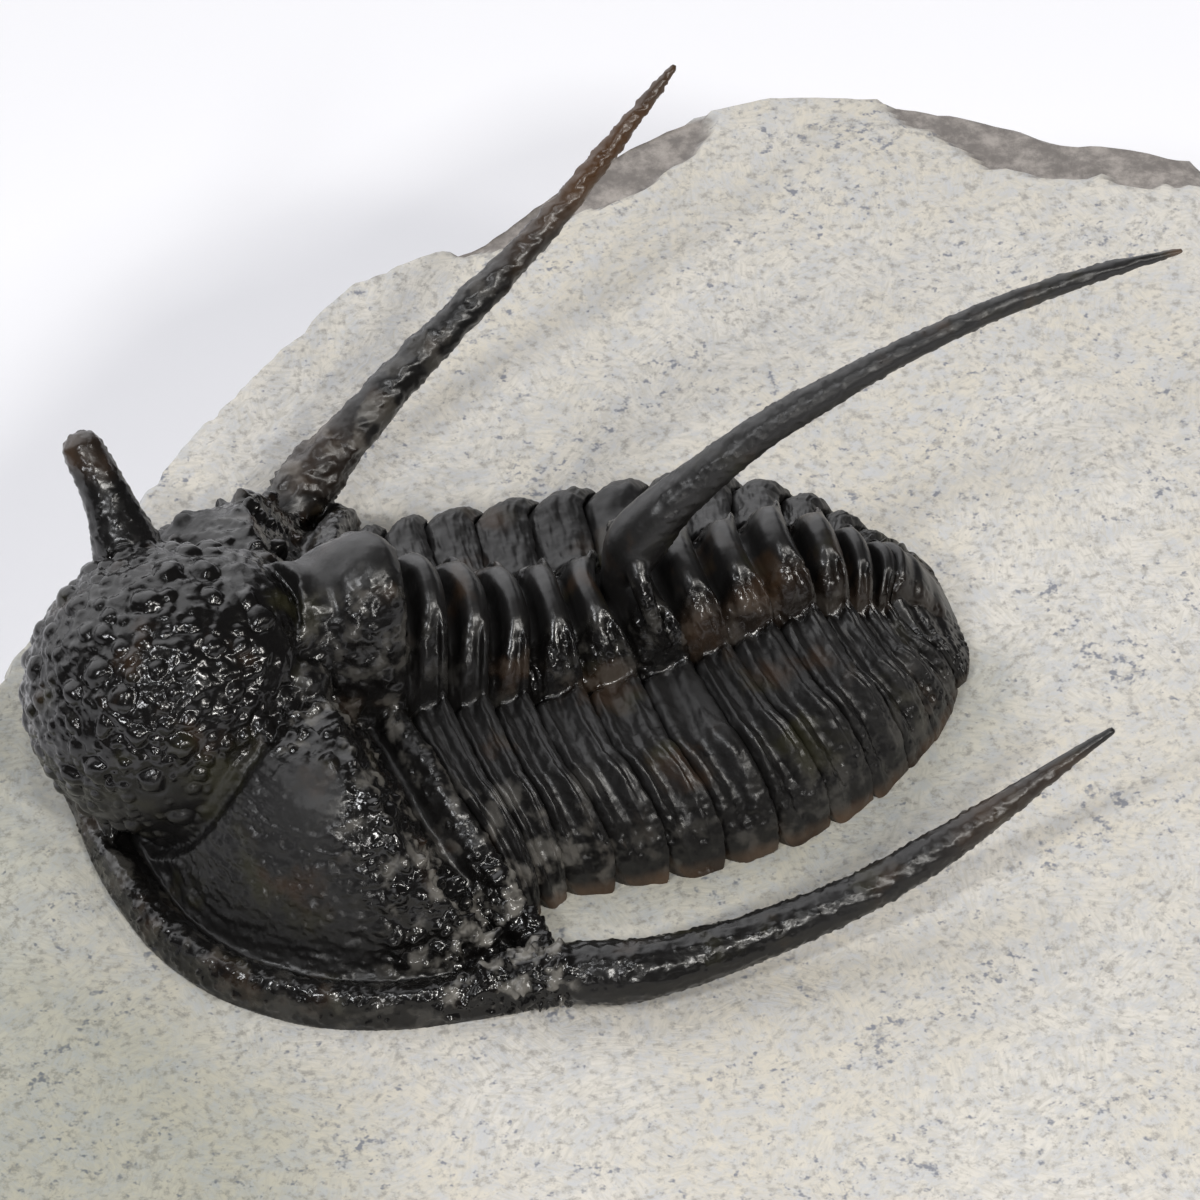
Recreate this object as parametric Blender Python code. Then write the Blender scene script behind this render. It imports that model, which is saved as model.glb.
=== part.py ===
"""A spiny proetid trilobite standing on the piece of limestone that it was prepared from.

Lengths are in millimetres in the animal's own frame until they become mesh vertices: x runs
backwards along the body from the genal angles, y runs to the animal's right, and z is the height
above the rock face that the body sits on. The exoskeleton is made of plates that meet along
curves, the plate boundaries, and neighbours on a boundary stand half a joint gap back from it.
"""
import math

import bmesh
import bpy
import numpy as np
from mathutils import Vector, noise

MM = 0.001
SHARP_ANGLE = 46.0

# The origin is under the middle of the rock, on the surface that the rock stands on
SEAT_HEIGHT = 14.0
BODY_X = -6.75
BODY_Y = 1.0

JOINT_GAP = 0.06
SEAT_GAP = 0.05

# Plate boundaries, from the back of the head to the back of the twelfth thoracic segment
CENTRE_X = (-0.10, 0.93, 2.02, 3.02, 3.97, 4.90, 6.20, 7.42, 8.58, 9.75, 10.95, 11.78, 12.50)
FURROW_X = (-0.45, 0.60, 1.60, 2.62, 4.00, 5.40, 6.74, 7.74, 8.93, 10.04, 10.93, 11.60, 12.12)
FURROW_Y = (1.92, 1.90, 1.90, 1.90, 1.88, 1.85, 1.82, 1.76, 1.66, 1.52, 1.34, 1.12, 0.90)
FULCRUM_X = (0.05, 0.85, 1.78, 2.78, 4.10, 5.45, 7.00, 8.14, 9.40, 10.52, 11.40, 12.05, 12.52)
FULCRUM_Y = (4.40, 4.35, 4.30, 4.30, 4.25, 4.20, 4.15, 4.00, 3.70, 3.25, 2.75, 2.20, 1.70)
TIP_X = (1.10, 1.75, 2.45, 3.75, 5.10, 6.50, 7.90, 9.30, 10.50, 11.55, 12.40, 13.05, 13.45)
TIP_Y = (6.70, 6.25, 6.05, 6.15, 6.25, 6.22, 6.05, 5.66, 5.12, 4.45, 3.75, 3.02, 2.35)
TIP_SWEEP_POWER = 1.05
# How far each boundary's right side stands forwards, by its distance out, and its share of the width
RIGHT_SHIFT = (0.106, 0.05, 0.0, -0.05, -0.06, -0.07, -0.06, -0.03) + (0.0,) * 5
RIGHT_WIDTH = (0.88, 0.95, 0.99, 0.95, 0.94, 0.94, 0.94, 0.93, 0.92, 0.91, 0.90, 0.90, 0.90)

# Crest heights of the twelve segments
RING_Z = (5.95, 5.20, 4.65, 4.40, 4.35, 4.45, 4.60, 4.65, 4.85, 4.35, 3.60, 2.95)
FURROW_Z = (3.45, 3.25, 2.98, 2.80, 2.74, 2.82, 3.00, 3.30, 3.42, 3.10, 2.60, 2.15)
FULCRUM_Z = (3.05, 2.95, 2.90, 2.90, 2.85, 2.80, 2.85, 2.85, 2.75, 2.45, 2.05, 1.70)
TIP_Z = 0.35

# Stations across half a segment: 0 midline, 1 axial furrow, 2 fulcrum, 3 pleural tip
STATIONS = (0.0, 0.35, 0.64, 0.85, 0.97, 1.15, 1.5, 1.95, 2.35, 2.7, 2.91, 3.0)
# Profiles along a segment, from its front edge (0) to its rear edge (1): position and height
RING_PROFILE = ((0.0, -0.62), (0.28, -0.5), (0.46, -0.14), (0.68, 0.0), (0.88, -0.10), (1.0, -0.38))
PLEURA_PROFILE = ((0.0, -0.34), (0.2, -0.06), (0.45, -0.32), (0.68, 0.0), (0.88, -0.04), (1.0, -0.26))
# The ring's profile gives way to the pleura's between these stations
RING_TO_PLEURA = (0.9, 1.15)
# Segments shorter than this have shallower profiles, and so has each pleura towards its tip
PROFILE_PITCH = 1.15
TIP_RELIEF = 0.7
RING_ARCH = (2.0, 0.5)
SHOULDER_DIP = 0.10
PLEURA_FALL = 0.85
TIP_OVERHANG = 0.08
TIP_OVERHANG_START = 2.5
TIP_ROUNDING_START = 2.6
TIP_WIDTH = 0.5

# Head
HEAD_SIDE = ((-8.38, 0.0), (-8.34, 1.4), (-8.18, 2.8), (-7.70, 4.7), (-6.88, 6.22), (-5.93, 7.25),
             (-4.49, 8.25), (-2.75, 8.85), (-1.00, 9.10), (0.50, 9.20))
GENAL_CORNER = ((1.25, 8.75), (1.45, 7.90), (1.42, 7.20))
HEAD_SPINE_X = -3.6
HEAD_SPINE_SPREAD = 0.55
BORDER_PROFILE = ((0.0, 0.40), (0.15, 0.80), (0.45, 1.0), (0.75, 0.86), (1.05, 0.55))
CHEEK_PROFILE = ((1.05, 0.55), (1.6, 1.9), (2.2, 3.3), (2.8, 4.25), (3.5, 4.7), (4.5, 5.05))
HIND_CREST = ((1.92, 3.50), (3.7, 3.35), (4.4, 3.10), (5.7, 2.35), (6.6, 1.45), (7.3, 0.95), (8.5, 0.95))
HIND_PROFILE = ((0.0, -0.30), (0.25, -0.04), (0.5, 0.0), (0.85, -0.10), (1.25, -0.50), (1.6, -0.35))
HIND_RISE = 1.5
HIND_WIDTH = 0.78
OCCIPITAL_Z = 7.15
OCCIPITAL_WIDTH = 1.55
OCCIPITAL_ARCH = (2.0, 0.5)
HEAD_INSETS = (0.0, 0.15, 0.45, 0.75, 1.05, 1.6)
HEAD_FILL = (0.2, 0.42, 0.64, 0.84)
SHALLOWEST_INSET = 0.55
LONGEST_INSET = 0.7
GLABELLA_CENTRE = (-5.75, 0.0, 3.62)
GLABELLA_RADII = (3.55, 3.45, 3.55)
GLABELLA_FLOOR = 0.45
GLABELLA_BACK_CENTRE = (-4.45, 0.0, 4.55)
GLABELLA_BACK_RADII = (2.15, 2.75, 2.4)
TUBERCLE_HEIGHT = 0.22
TUBERCLE_LIMIT = -0.25
TUBERCLE_SLOPE = -0.6
TUBERCLE_SCATTER = 9.0
EYE_CENTRE = (-3.9, 4.85, 4.1)
EYE_RADII = (0.98, 0.92, 0.72)
BASAL_LOBE_CENTRE = (-3.05, 1.85, 4.7)
BASAL_LOBE_RADII = (0.75, 0.7, 0.85)

# Spines: centre-line points and the radius at each, from root to tip
LEFT_SPINE = ((-1.6, -8.6, 0.56, 0.36), (-0.6, -8.65, 0.62, 0.50), (0.6, -8.75, 0.76, 0.66),
              (2.15, -9.2, 0.86, 0.76), (3.1, -9.44, 0.88, 0.74), (5.05, -9.47, 0.98, 0.63),
              (7.1, -9.34, 1.22, 0.55), (8.9, -9.2, 1.60, 0.50), (10.7, -8.88, 2.10, 0.46),
              (12.3, -8.59, 2.70, 0.34), (13.9, -8.27, 3.35, 0.21), (15.3, -8.09, 4.0, 0.10))
RIGHT_SPINE = ((-1.9, 6.7, 0.80, 0.50), (-0.95, 7.4, 0.92, 0.66), (-0.3, 7.9, 1.22, 0.78),
               (0.4, 8.25, 1.60, 0.70), (1.45, 8.8, 2.10, 0.57), (2.8, 9.45, 2.85, 0.50),
               (5.15, 10.35, 4.15, 0.43), (6.45, 10.85, 4.90, 0.37), (7.9, 11.5, 5.80, 0.32),
               (9.2, 12.1, 6.75, 0.25), (10.2, 12.55, 7.50, 0.17), (10.9, 12.9, 8.0, 0.09))
AXIAL_SPINE = ((5.52, 0.0, 3.2, 0.50), (5.60, 0.0, 4.3, 0.58), (5.86, 0.0, 5.15, 0.74),
               (6.40, 0.0, 5.92, 0.67), (7.1, 0.0, 6.6, 0.56), (8.2, 0.0, 7.5, 0.48), (9.3, 0.0, 8.25, 0.43),
               (10.5, 0.0, 8.85, 0.39), (12.45, 0.0, 9.73, 0.31), (14.95, 0.0, 10.56, 0.27),
               (17.45, 0.0, 11.0, 0.20), (19.57, 0.0, 11.13, 0.07))
HORN = ((-5.95, 1.9, 5.0, 0.95), (-6.02, 2.7, 5.75, 0.86), (-6.18, 3.5, 6.45, 0.64),
        (-6.35, 4.1, 7.05, 0.54), (-6.55, 4.65, 7.55, 0.50), (-6.62, 4.85, 7.74, 0.40),
        (-6.66, 4.95, 7.86, 0.16))
SPINE_SIDES = 8
GENAL_SPINE_STEPS = 13
AXIAL_SPINE_STEPS = 15
HORN_STEPS = 7

# Tail shield
TAIL_END_X = 14.05
TAIL_END_CURVE = 0.35
TAIL_END_WIDTH = 0.94
TAIL_CRESTS = (2.90, 2.20, 1.65)
TAIL_RIBS = ((0.0, -0.20), (0.14, 0.0), (0.30, -0.16), (0.44, 0.0), (0.60, -0.12), (0.74, 0.0),
             (0.90, -0.06), (1.0, 0.0))
TAIL_FALL = 1.5

# Rock: its outline in plan, seen from above, and how its side breaks away below the top edge
ROCK_OUTLINE = ((-8.71, 5.5), (-5.88, 8.05), (-3.48, 10.76), (-0.59, 13.2), (3.08, 15.86), (7.43, 16.92),
                (10.05, 18.38), (13.11, 19.42), (15.64, 19.5), (19.65, 18.22), (22.3, 16.2), (25.8, 14.35),
                (28.2, 6.0), (28.5, -6.0), (26.0, -15.0), (19.0, -20.5), (8.0, -21.5), (-4.0, -20.0),
                (-11.5, -15.5), (-15.0, -8.0), (-13.0, -0.5), (-10.6, 3.0))
ROCK_CENTRE = (3.5, -1.5)
ROCK_RAYS = 44
ROCK_RINGS = (0.22, 0.42, 0.56, 0.68, 0.79, 0.88, 0.95)
ROCK_SIDE = ((1.0, -0.5), (0.995, -1.8), (0.975, -4.6), (0.985, -7.6), (0.955, -10.8), (0.94, -13.0))
ROCK_BASE_INSET = 0.93
SEAT_RADII = (14.5, 12.5)
SEAT_CENTRE = (3.0, 0.0)
SEAT_BLEND = 2.5
TOP_SWELL = 0.55
TOP_WAVES = 0.13
EDGE_DROP = 0.45
EDGE_DROP_START = 1.2
SIDE_BREAK = 0.045
SIDE_WAVES = (3.1, 0.3)


def clear_scene():
    for item in list(bpy.data.objects):
        bpy.data.objects.remove(item, do_unlink=True)


def world(point):
    """A point of the animal's frame, in metres in the part's frame."""
    return ((point[0] + BODY_X) * MM, (point[1] + BODY_Y) * MM, (point[2] + SEAT_HEIGHT) * MM)


def material(name, colour, roughness):
    made = bpy.data.materials.new(name)
    made.use_nodes = True
    shader = made.node_tree.nodes["Principled BSDF"]
    shader.inputs["Base Color"].default_value = (*colour, 1.0)
    shader.inputs["Roughness"].default_value = roughness
    shader.inputs["Metallic"].default_value = 0.0
    return made


def make_object(name, points, faces, finish):
    """A mesh object from points of the animal's frame, with its faces turned outwards."""
    mesh = bpy.data.meshes.new(name)
    mesh.from_pydata([world(point) for point in points], [], faces)
    body = bmesh.new()
    body.from_mesh(mesh)
    bmesh.ops.recalc_face_normals(body, faces=body.faces)
    bmesh.ops.triangulate(body, faces=body.faces)
    body.to_mesh(mesh)
    body.free()
    mesh.shade_smooth()
    mesh.set_sharp_from_angle(angle=math.radians(SHARP_ANGLE))
    made = bpy.data.objects.new(name, mesh)
    bpy.context.collection.objects.link(made)
    mesh.materials.append(finish)
    return made


def fuse(target, pieces):
    """Grow the pieces onto the target with exact unions."""
    for piece in pieces:
        piece.hide_render = True
        piece.display_type = "WIRE"
        union = target.modifiers.new("grown with " + piece.name, "BOOLEAN")
        union.operation = "UNION"
        union.solver = "EXACT"
        union.object = piece


def grid_faces(rows, columns, closed):
    """Quads between rows of a grid, whose columns close on themselves where closed is true."""
    faces = []
    for row in range(rows - 1):
        for column in range(columns if closed else columns - 1):
            after = (column + 1) % columns
            faces.append((row * columns + column, row * columns + after,
                          (row + 1) * columns + after, (row + 1) * columns + column))
    return faces


def read(profile, position):
    """The second values of a profile, read between its first values."""
    places, values = zip(*profile)
    return float(np.interp(position, places, values))


def spline(points, steps):
    """Evenly spaced points of a smooth curve through the points, whatever they hold."""
    knots = np.array(points)
    spread = np.linspace(0.0, len(knots) - 1.0, steps)
    curve = []
    for value in spread:
        start = min(int(value), len(knots) - 2)
        part = value - start
        before = knots[max(start - 1, 0)]
        after = knots[min(start + 2, len(knots) - 1)]
        near, far = knots[start], knots[start + 1]
        curve.append(0.5 * (2.0 * near + (far - before) * part
                            + (2.0 * before - 5.0 * near + 4.0 * far - after) * part ** 2
                            + (3.0 * near - before - 3.0 * far + after) * part ** 3))
    return np.array(curve)


def pushed(index, x, y, side):
    """A plan position on one side, with the push that the right side has at a boundary."""
    if side < 0:
        return x, -y
    return x - RIGHT_SHIFT[index] * y, y * RIGHT_WIDTH[index]


def boundary(index, station, side):
    """Plan position of a plate boundary at a station, on the left (side -1) or the right (side 1)."""
    if station <= 1.0:
        x = CENTRE_X[index] + (FURROW_X[index] - CENTRE_X[index]) * station ** 2
        y = FURROW_Y[index] * station
    else:
        if station <= 2.0:
            x = FURROW_X[index] + (FULCRUM_X[index] - FURROW_X[index]) * (station - 1.0)
            y = FURROW_Y[index] + (FULCRUM_Y[index] - FURROW_Y[index]) * (station - 1.0)
        else:
            x = FULCRUM_X[index] + (TIP_X[index] - FULCRUM_X[index]) * (station - 2.0) ** TIP_SWEEP_POWER
            y = FULCRUM_Y[index] + (TIP_Y[index] - FULCRUM_Y[index]) * (station - 2.0)
    return pushed(index, x, y, side)


def crest_height(ring, furrow, fulcrum, station):
    """Height across half a plate: an arched ring, a shoulder, and a pleura that curves down."""
    if station <= 1.0:
        return furrow + (ring - furrow) * (1.0 - station ** RING_ARCH[0]) ** RING_ARCH[1]
    if station <= 2.0:
        shoulder = SHOULDER_DIP * math.sin(math.pi * (station - 1.0))
        return furrow + (fulcrum - furrow) * (station - 1.0) - shoulder
    return TIP_Z + (fulcrum - TIP_Z) * math.cos((station - 2.0) * math.pi / 2) ** PLEURA_FALL


def half_stations():
    """Signed stations from the left tip to the right tip."""
    return [-value for value in reversed(STATIONS[1:])] + list(STATIONS)


def segment_points(number):
    """Cross-sections of one thoracic segment, each closed from its front edge round to its foot."""
    front, back = number - 1, number
    points = []
    for signed in half_stations():
        station, side = abs(signed), (1 if signed >= 0 else -1)
        x0, y0 = boundary(front, station, side)
        x1, y1 = boundary(back, station, side)
        height = crest_height(RING_Z[front], FURROW_Z[front], FULCRUM_Z[front], station)
        on_ring = float(np.interp(station, RING_TO_PLEURA, (1.0, 0.0)))
        pitch = min(1.0, (CENTRE_X[back] - CENTRE_X[front]) / PROFILE_PITCH)
        relief = pitch * float(np.interp(station, (2.0, 3.0), (1.0, TIP_RELIEF)))
        rounding = max(0.0, station - TIP_ROUNDING_START) / (3.0 - TIP_ROUNDING_START)
        width = max(TIP_WIDTH, math.sqrt(1.0 - rounding ** 2))
        outward = side * TIP_OVERHANG * float(np.interp(station, (TIP_OVERHANG_START, 3.0), (0.0, 1.0)))
        x0, x1 = x0 + JOINT_GAP / 2, x1 - JOINT_GAP / 2
        middle, half = (x0 + x1) / 2, (x1 - x0) / 2 * width
        section = []
        for (ring_at, ring_drop), (pleura_at, pleura_drop) in zip(RING_PROFILE, PLEURA_PROFILE):
            along = pleura_at + (ring_at - pleura_at) * on_ring
            drop = pleura_drop + (ring_drop - pleura_drop) * on_ring
            section.append((middle + half * (2.0 * along - 1.0), y0 + (y1 - y0) * along + outward,
                            height + drop * relief))
        section.append((section[-1][0], section[-1][1], SEAT_GAP))
        section.append((section[0][0], section[0][1], SEAT_GAP))
        points.append(section)
    return points


def loft(name, sections, finish):
    """A closed body through sections of equally many points."""
    columns = len(sections[0])
    rows = len(sections)
    faces = grid_faces(rows, columns, True)
    faces.append(tuple(range(columns)))
    faces.append(tuple((rows - 1) * columns + column for column in range(columns)))
    return make_object(name, [point for section in sections for point in section], faces, finish)


def spine(name, knots, steps, finish):
    """A tapering round spine along a smooth centre-line, closed by a blunt tip."""
    line = spline(knots, steps)
    centres = [Vector(row[:3]) for row in line]
    sections = []
    for number, (centre, row) in enumerate(zip(centres, line)):
        ahead = centres[min(number + 1, steps - 1)] - centres[max(number - 1, 0)]
        across = ahead.cross(Vector((0.0, 0.0, 1.0))).normalized()
        upward = across.cross(ahead).normalized()
        ring = []
        for corner in range(SPINE_SIDES):
            turn = 2.0 * math.pi * corner / SPINE_SIDES
            ring.append(tuple(centre + (across * math.cos(turn) + upward * math.sin(turn)) * row[3]))
        sections.append(ring)
    return loft(name, sections, finish)


def thorax(finish):
    """Twelve segments, the sixth with the long spine of its axial ring."""
    for number in range(1, 13):
        made = loft(f"thorax_segment_{number:02d}", segment_points(number), finish)
        if number == 6:
            fuse(made, [spine("axial_spine_form", AXIAL_SPINE, AXIAL_SPINE_STEPS, finish)])


def tail(finish):
    """The tail shield: the last boundary drawn together to a short rounded margin, with ribs."""
    sections = []
    for signed in half_stations():
        station, side = abs(signed), (1 if signed >= 0 else -1)
        x0, y0 = boundary(12, station, side)
        x0 += JOINT_GAP / 2
        x1 = TAIL_END_X - TAIL_END_CURVE * (station / 3.0) ** 4
        y1 = y0 * TAIL_END_WIDTH
        height = crest_height(*TAIL_CRESTS, station)
        relief = float(np.interp(station, (2.0, 3.0), (1.0, TIP_RELIEF)))
        section = []
        for along, drop in TAIL_RIBS:
            fallen = height + (TIP_Z - height) * along ** TAIL_FALL
            section.append((x0 + (x1 - x0) * along, y0 + (y1 - y0) * along, fallen + drop * relief))
        section.append((x1, y1, SEAT_GAP))
        section.append((x0, y0, SEAT_GAP))
        sections.append(section)
    return loft("pygidium", sections, finish)


def head_edge(side):
    """One side of the head shield's edge in plan: front to genal corner, and midline to corner."""
    outer = [pushed(0, x, y, side) for x, y in HEAD_SIDE]
    corner = [pushed(0, x, y, side) for x, y in GENAL_CORNER]
    hind = [boundary(0, station, side) for station in STATIONS]
    return outer, [(x - JOINT_GAP / 2, y) for x, y in hind] + corner[::-1]


def head_outline():
    """The whole edge, from the front round the right side and the back to the front."""
    outer, hind = head_edge(1)
    right = outer + hind[::-1]
    outer, hind = head_edge(-1)
    left = outer + hind[::-1]
    return right + left[-2:0:-1]


def distance_to(path, x, y):
    """Shortest distance in plan from a point to an open path."""
    start = np.array(path[:-1])
    run = np.array(path[1:]) - start
    offset = np.array((x, y)) - start
    along = np.clip((offset * run).sum(1) / (run ** 2).sum(1), 0.0, 1.0)
    return float(np.hypot(*(offset - run * along[:, None]).T).min())


def head_height(x, y):
    """Height of the head shield without the glabella: rolled border, cheeks and occipital ring."""
    outer, hind = head_edge(1 if y >= 0 else -1)
    from_edge = distance_to(outer, x, y)
    from_hind = distance_to(hind, x, y)
    across = abs(y)
    arch = max(0.0, 1.0 - (across / FURROW_Y[0]) ** OCCIPITAL_ARCH[0]) ** OCCIPITAL_ARCH[1]
    crest = read(HIND_CREST, across) + (OCCIPITAL_Z - HIND_CREST[0][1]) * arch
    width = HIND_WIDTH + (OCCIPITAL_WIDTH - HIND_WIDTH) * min(1.0, arch * 2.0)
    position = from_hind / width
    if position < HIND_PROFILE[-1][0]:
        height = crest + read(HIND_PROFILE, position)
    else:
        rise = crest + HIND_PROFILE[-1][1] + HIND_RISE * (position - HIND_PROFILE[-1][0])
        height = min(read(CHEEK_PROFILE, from_edge), rise)
    if from_edge < BORDER_PROFILE[-1][0]:
        height = read(BORDER_PROFILE, from_edge)
    return height


def head_shield(finish):
    """The head's plate as rings inside its outline, closed underneath by a flat face."""
    outline = np.array(head_outline())
    count = len(outline)
    run = np.roll(outline, -1, axis=0) - np.roll(outline, 1, axis=0)
    normal = np.stack([-run[:, 1], run[:, 0]], 1) / np.hypot(*run.T)[:, None]
    goal = np.stack([np.full(count, HEAD_SPINE_X), outline[:, 1] * HEAD_SPINE_SPREAD], 1)
    way = goal - outline
    length = np.hypot(*way.T)
    slant = np.maximum(abs((normal * way).sum(1)) / length, SHALLOWEST_INSET)
    rings = []
    for inset in HEAD_INSETS:
        part = np.minimum(inset / slant / length, LONGEST_INSET)
        rings.append(outline + way * part[:, None])
    rings += [rings[-1] + (goal - rings[-1]) * part for part in HEAD_FILL]
    points = [(x, y, SEAT_GAP) for x, y in outline]
    for ring in rings:
        points += [(x, y, head_height(x, y)) for x, y in ring]
    faces = grid_faces(len(rings) + 1, count, True)
    faces.append(tuple(range(count)))
    faces.append(tuple(len(rings) * count + k for k in range(count)))
    return make_object("cephalon", points, faces, finish)


def tubercles(body):
    """Vertices of a ball to raise: none beside another, and none low on its front."""
    raised = set()
    for vertex in sorted(body.verts, key=lambda corner: noise.noise(corner.co * TUBERCLE_SCATTER)):
        low = vertex.co.z < TUBERCLE_LIMIT + TUBERCLE_SLOPE * vertex.co.x
        beside = any(edge.other_vert(vertex).index in raised for edge in vertex.link_edges)
        if not low and not beside:
            raised.add(vertex.index)
    return raised


def ball(name, centre, radii, detail, bumps, finish):
    """A closed ovoid, flattened below the head's floor height and optionally with tubercles."""
    body = bmesh.new()
    bmesh.ops.create_icosphere(body, subdivisions=detail, radius=1.0)
    raised = tubercles(body) if bumps else set()
    points = []
    for vertex in body.verts:
        lift = bumps if vertex.index in raised else 0.0
        place = [centre[axis] + vertex.co[axis] * (radii[axis] + lift) for axis in range(3)]
        place[2] = max(place[2], GLABELLA_FLOOR)
        points.append(place)
    faces = [tuple(vertex.index for vertex in face.verts) for face in body.faces]
    body.free()
    made = make_object(name, points, faces, finish)
    if bumps:
        made.data.shade_flat()
    return made


def head(finish):
    """The head shield with everything that grew on it."""
    front = ball("glabella_form", GLABELLA_CENTRE, GLABELLA_RADII, 4, TUBERCLE_HEIGHT, finish)
    back = ball("glabella_back_form", GLABELLA_BACK_CENTRE, GLABELLA_BACK_RADII, 3, TUBERCLE_HEIGHT, finish)
    grown = [front, back]
    for side, name in ((-1, "left"), (1, "right")):
        eye = (*pushed(0, EYE_CENTRE[0], EYE_CENTRE[1], side), EYE_CENTRE[2])
        lobe = (BASAL_LOBE_CENTRE[0], BASAL_LOBE_CENTRE[1] * side, BASAL_LOBE_CENTRE[2])
        grown.append(ball(name + "_eye_form", eye, EYE_RADII, 3, 0.0, finish))
        grown.append(ball(name + "_lobe_form", lobe, BASAL_LOBE_RADII, 2, 0.0, finish))
    grown.append(spine("left_genal_spine_form", LEFT_SPINE, GENAL_SPINE_STEPS, finish))
    grown.append(spine("right_genal_spine_form", RIGHT_SPINE, GENAL_SPINE_STEPS, finish))
    grown.append(spine("right_horn_form", HORN, HORN_STEPS, finish))
    fuse(head_shield(finish), grown)


def rock_edge(angle):
    """Distance from the rock's centre to its outline in the direction of an angle."""
    way = np.array((math.cos(angle), math.sin(angle)))
    reach = 0.0
    corners = [np.array(corner) - np.array(ROCK_CENTRE) for corner in ROCK_OUTLINE]
    for first, second in zip(corners, corners[1:] + corners[:1]):
        run = second - first
        turned = way[0] * run[1] - way[1] * run[0]
        if abs(turned) < 1e-9:
            continue
        out = (first[0] * run[1] - first[1] * run[0]) / turned
        along = (first[0] * way[1] - first[1] * way[0]) / turned
        if out > 0.0 and -1e-6 <= along <= 1.0 + 1e-6:
            reach = max(reach, out)
    return reach


def rock_angles():
    """Angles of the rock's rays: one through each corner of its outline, the rest shared out."""
    corners = sorted(math.atan2(y - ROCK_CENTRE[1], x - ROCK_CENTRE[0]) for x, y in ROCK_OUTLINE)
    angles = []
    for first, second in zip(corners, corners[1:] + [corners[0] + 2.0 * math.pi]):
        share = max(1, round((second - first) / (2.0 * math.pi) * ROCK_RAYS))
        angles += [first + (second - first) * step / share for step in range(share)]
    return angles


def rock_top(x, y):
    """Height of the prepared face: level under the body and gently swelling away from it."""
    away = math.hypot((x - SEAT_CENTRE[0]) / SEAT_RADII[0], (y - SEAT_CENTRE[1]) / SEAT_RADII[1])
    free = min(1.0, max(0.0, (away - 1.0) * SEAT_BLEND))
    swell = noise.noise(Vector((x * TOP_WAVES, y * TOP_WAVES, 0.0)))
    return TOP_SWELL * free * (swell - EDGE_DROP * max(0.0, away - EDGE_DROP_START))


def matrix(finish):
    """The rock: a level prepared face, broken sides and a flat sawn base."""
    angles = rock_angles()
    reach = [rock_edge(angle) for angle in angles]
    points = [(*ROCK_CENTRE, 0.0)]

    def at(number, part, height, rough):
        way = Vector((math.cos(angles[number]), math.sin(angles[number]), 0.0))
        place = way * SIDE_WAVES[0] + Vector((0.0, 0.0, height * SIDE_WAVES[1]))
        out = reach[number] * part * (1.0 + rough * (noise.noise(place) - 0.5))
        return ROCK_CENTRE[0] + out * way.x, ROCK_CENTRE[1] + out * way.y

    for part in ROCK_RINGS:
        for number in range(len(angles)):
            x, y = at(number, part, 0.0, 0.0)
            points.append((x, y, rock_top(x, y)))
    for part, depth in ROCK_SIDE:
        rough = SIDE_BREAK if part < 1.0 else 0.0
        for number in range(len(angles)):
            x, y = at(number, part, depth, rough)
            lowered = depth + (rock_top(x, y) if part == 1.0 else 0.0)
            points.append((x, y, lowered))
    for number in range(len(angles)):
        points.append((*at(number, ROCK_BASE_INSET, -SEAT_HEIGHT, SIDE_BREAK), -SEAT_HEIGHT))
    count = len(angles)
    rows = 1 + len(ROCK_RINGS) + len(ROCK_SIDE)
    faces = [(0, 1 + number, 1 + (number + 1) % count) for number in range(count)]
    faces += [tuple(1 + corner for corner in face) for face in grid_faces(rows, count, True)]
    faces.append(tuple(1 + (rows - 1) * count + number for number in range(count)))
    return make_object("matrix", points, faces, finish)


def main():
    clear_scene()
    shell = material("black calcite shell", (0.018, 0.016, 0.015), 0.22)
    stone = material("pale limestone", (0.60, 0.58, 0.53), 0.85)
    matrix(stone)
    head(shell)
    thorax(shell)
    tail(shell)


main()
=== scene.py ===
"""Looks of a spiny trilobite on its limestone: fine surfaces, stone and shell materials, light and camera.

Points are in millimetres in the animal's own frame until they become mesh vertices: x runs backwards
from the genal angles, y to the animal's right, and z up from the rock face that the body sits on.
"""

import math

import bmesh
import bpy
import numpy as np
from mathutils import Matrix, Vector, kdtree


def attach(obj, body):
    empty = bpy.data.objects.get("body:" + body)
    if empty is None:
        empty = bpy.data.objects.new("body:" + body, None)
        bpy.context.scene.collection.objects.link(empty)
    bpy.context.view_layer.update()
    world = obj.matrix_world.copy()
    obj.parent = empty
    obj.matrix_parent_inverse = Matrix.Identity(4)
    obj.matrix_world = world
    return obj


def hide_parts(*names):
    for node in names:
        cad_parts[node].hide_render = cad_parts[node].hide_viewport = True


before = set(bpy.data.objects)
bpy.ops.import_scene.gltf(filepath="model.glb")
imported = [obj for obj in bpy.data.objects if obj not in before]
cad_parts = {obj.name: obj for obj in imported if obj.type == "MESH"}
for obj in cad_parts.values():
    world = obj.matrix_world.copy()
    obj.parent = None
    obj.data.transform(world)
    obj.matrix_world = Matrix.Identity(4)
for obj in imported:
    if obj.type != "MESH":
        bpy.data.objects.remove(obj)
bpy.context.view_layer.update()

MM = 0.001
BODY = np.array((-6.75, 1.0, 14.0))

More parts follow.
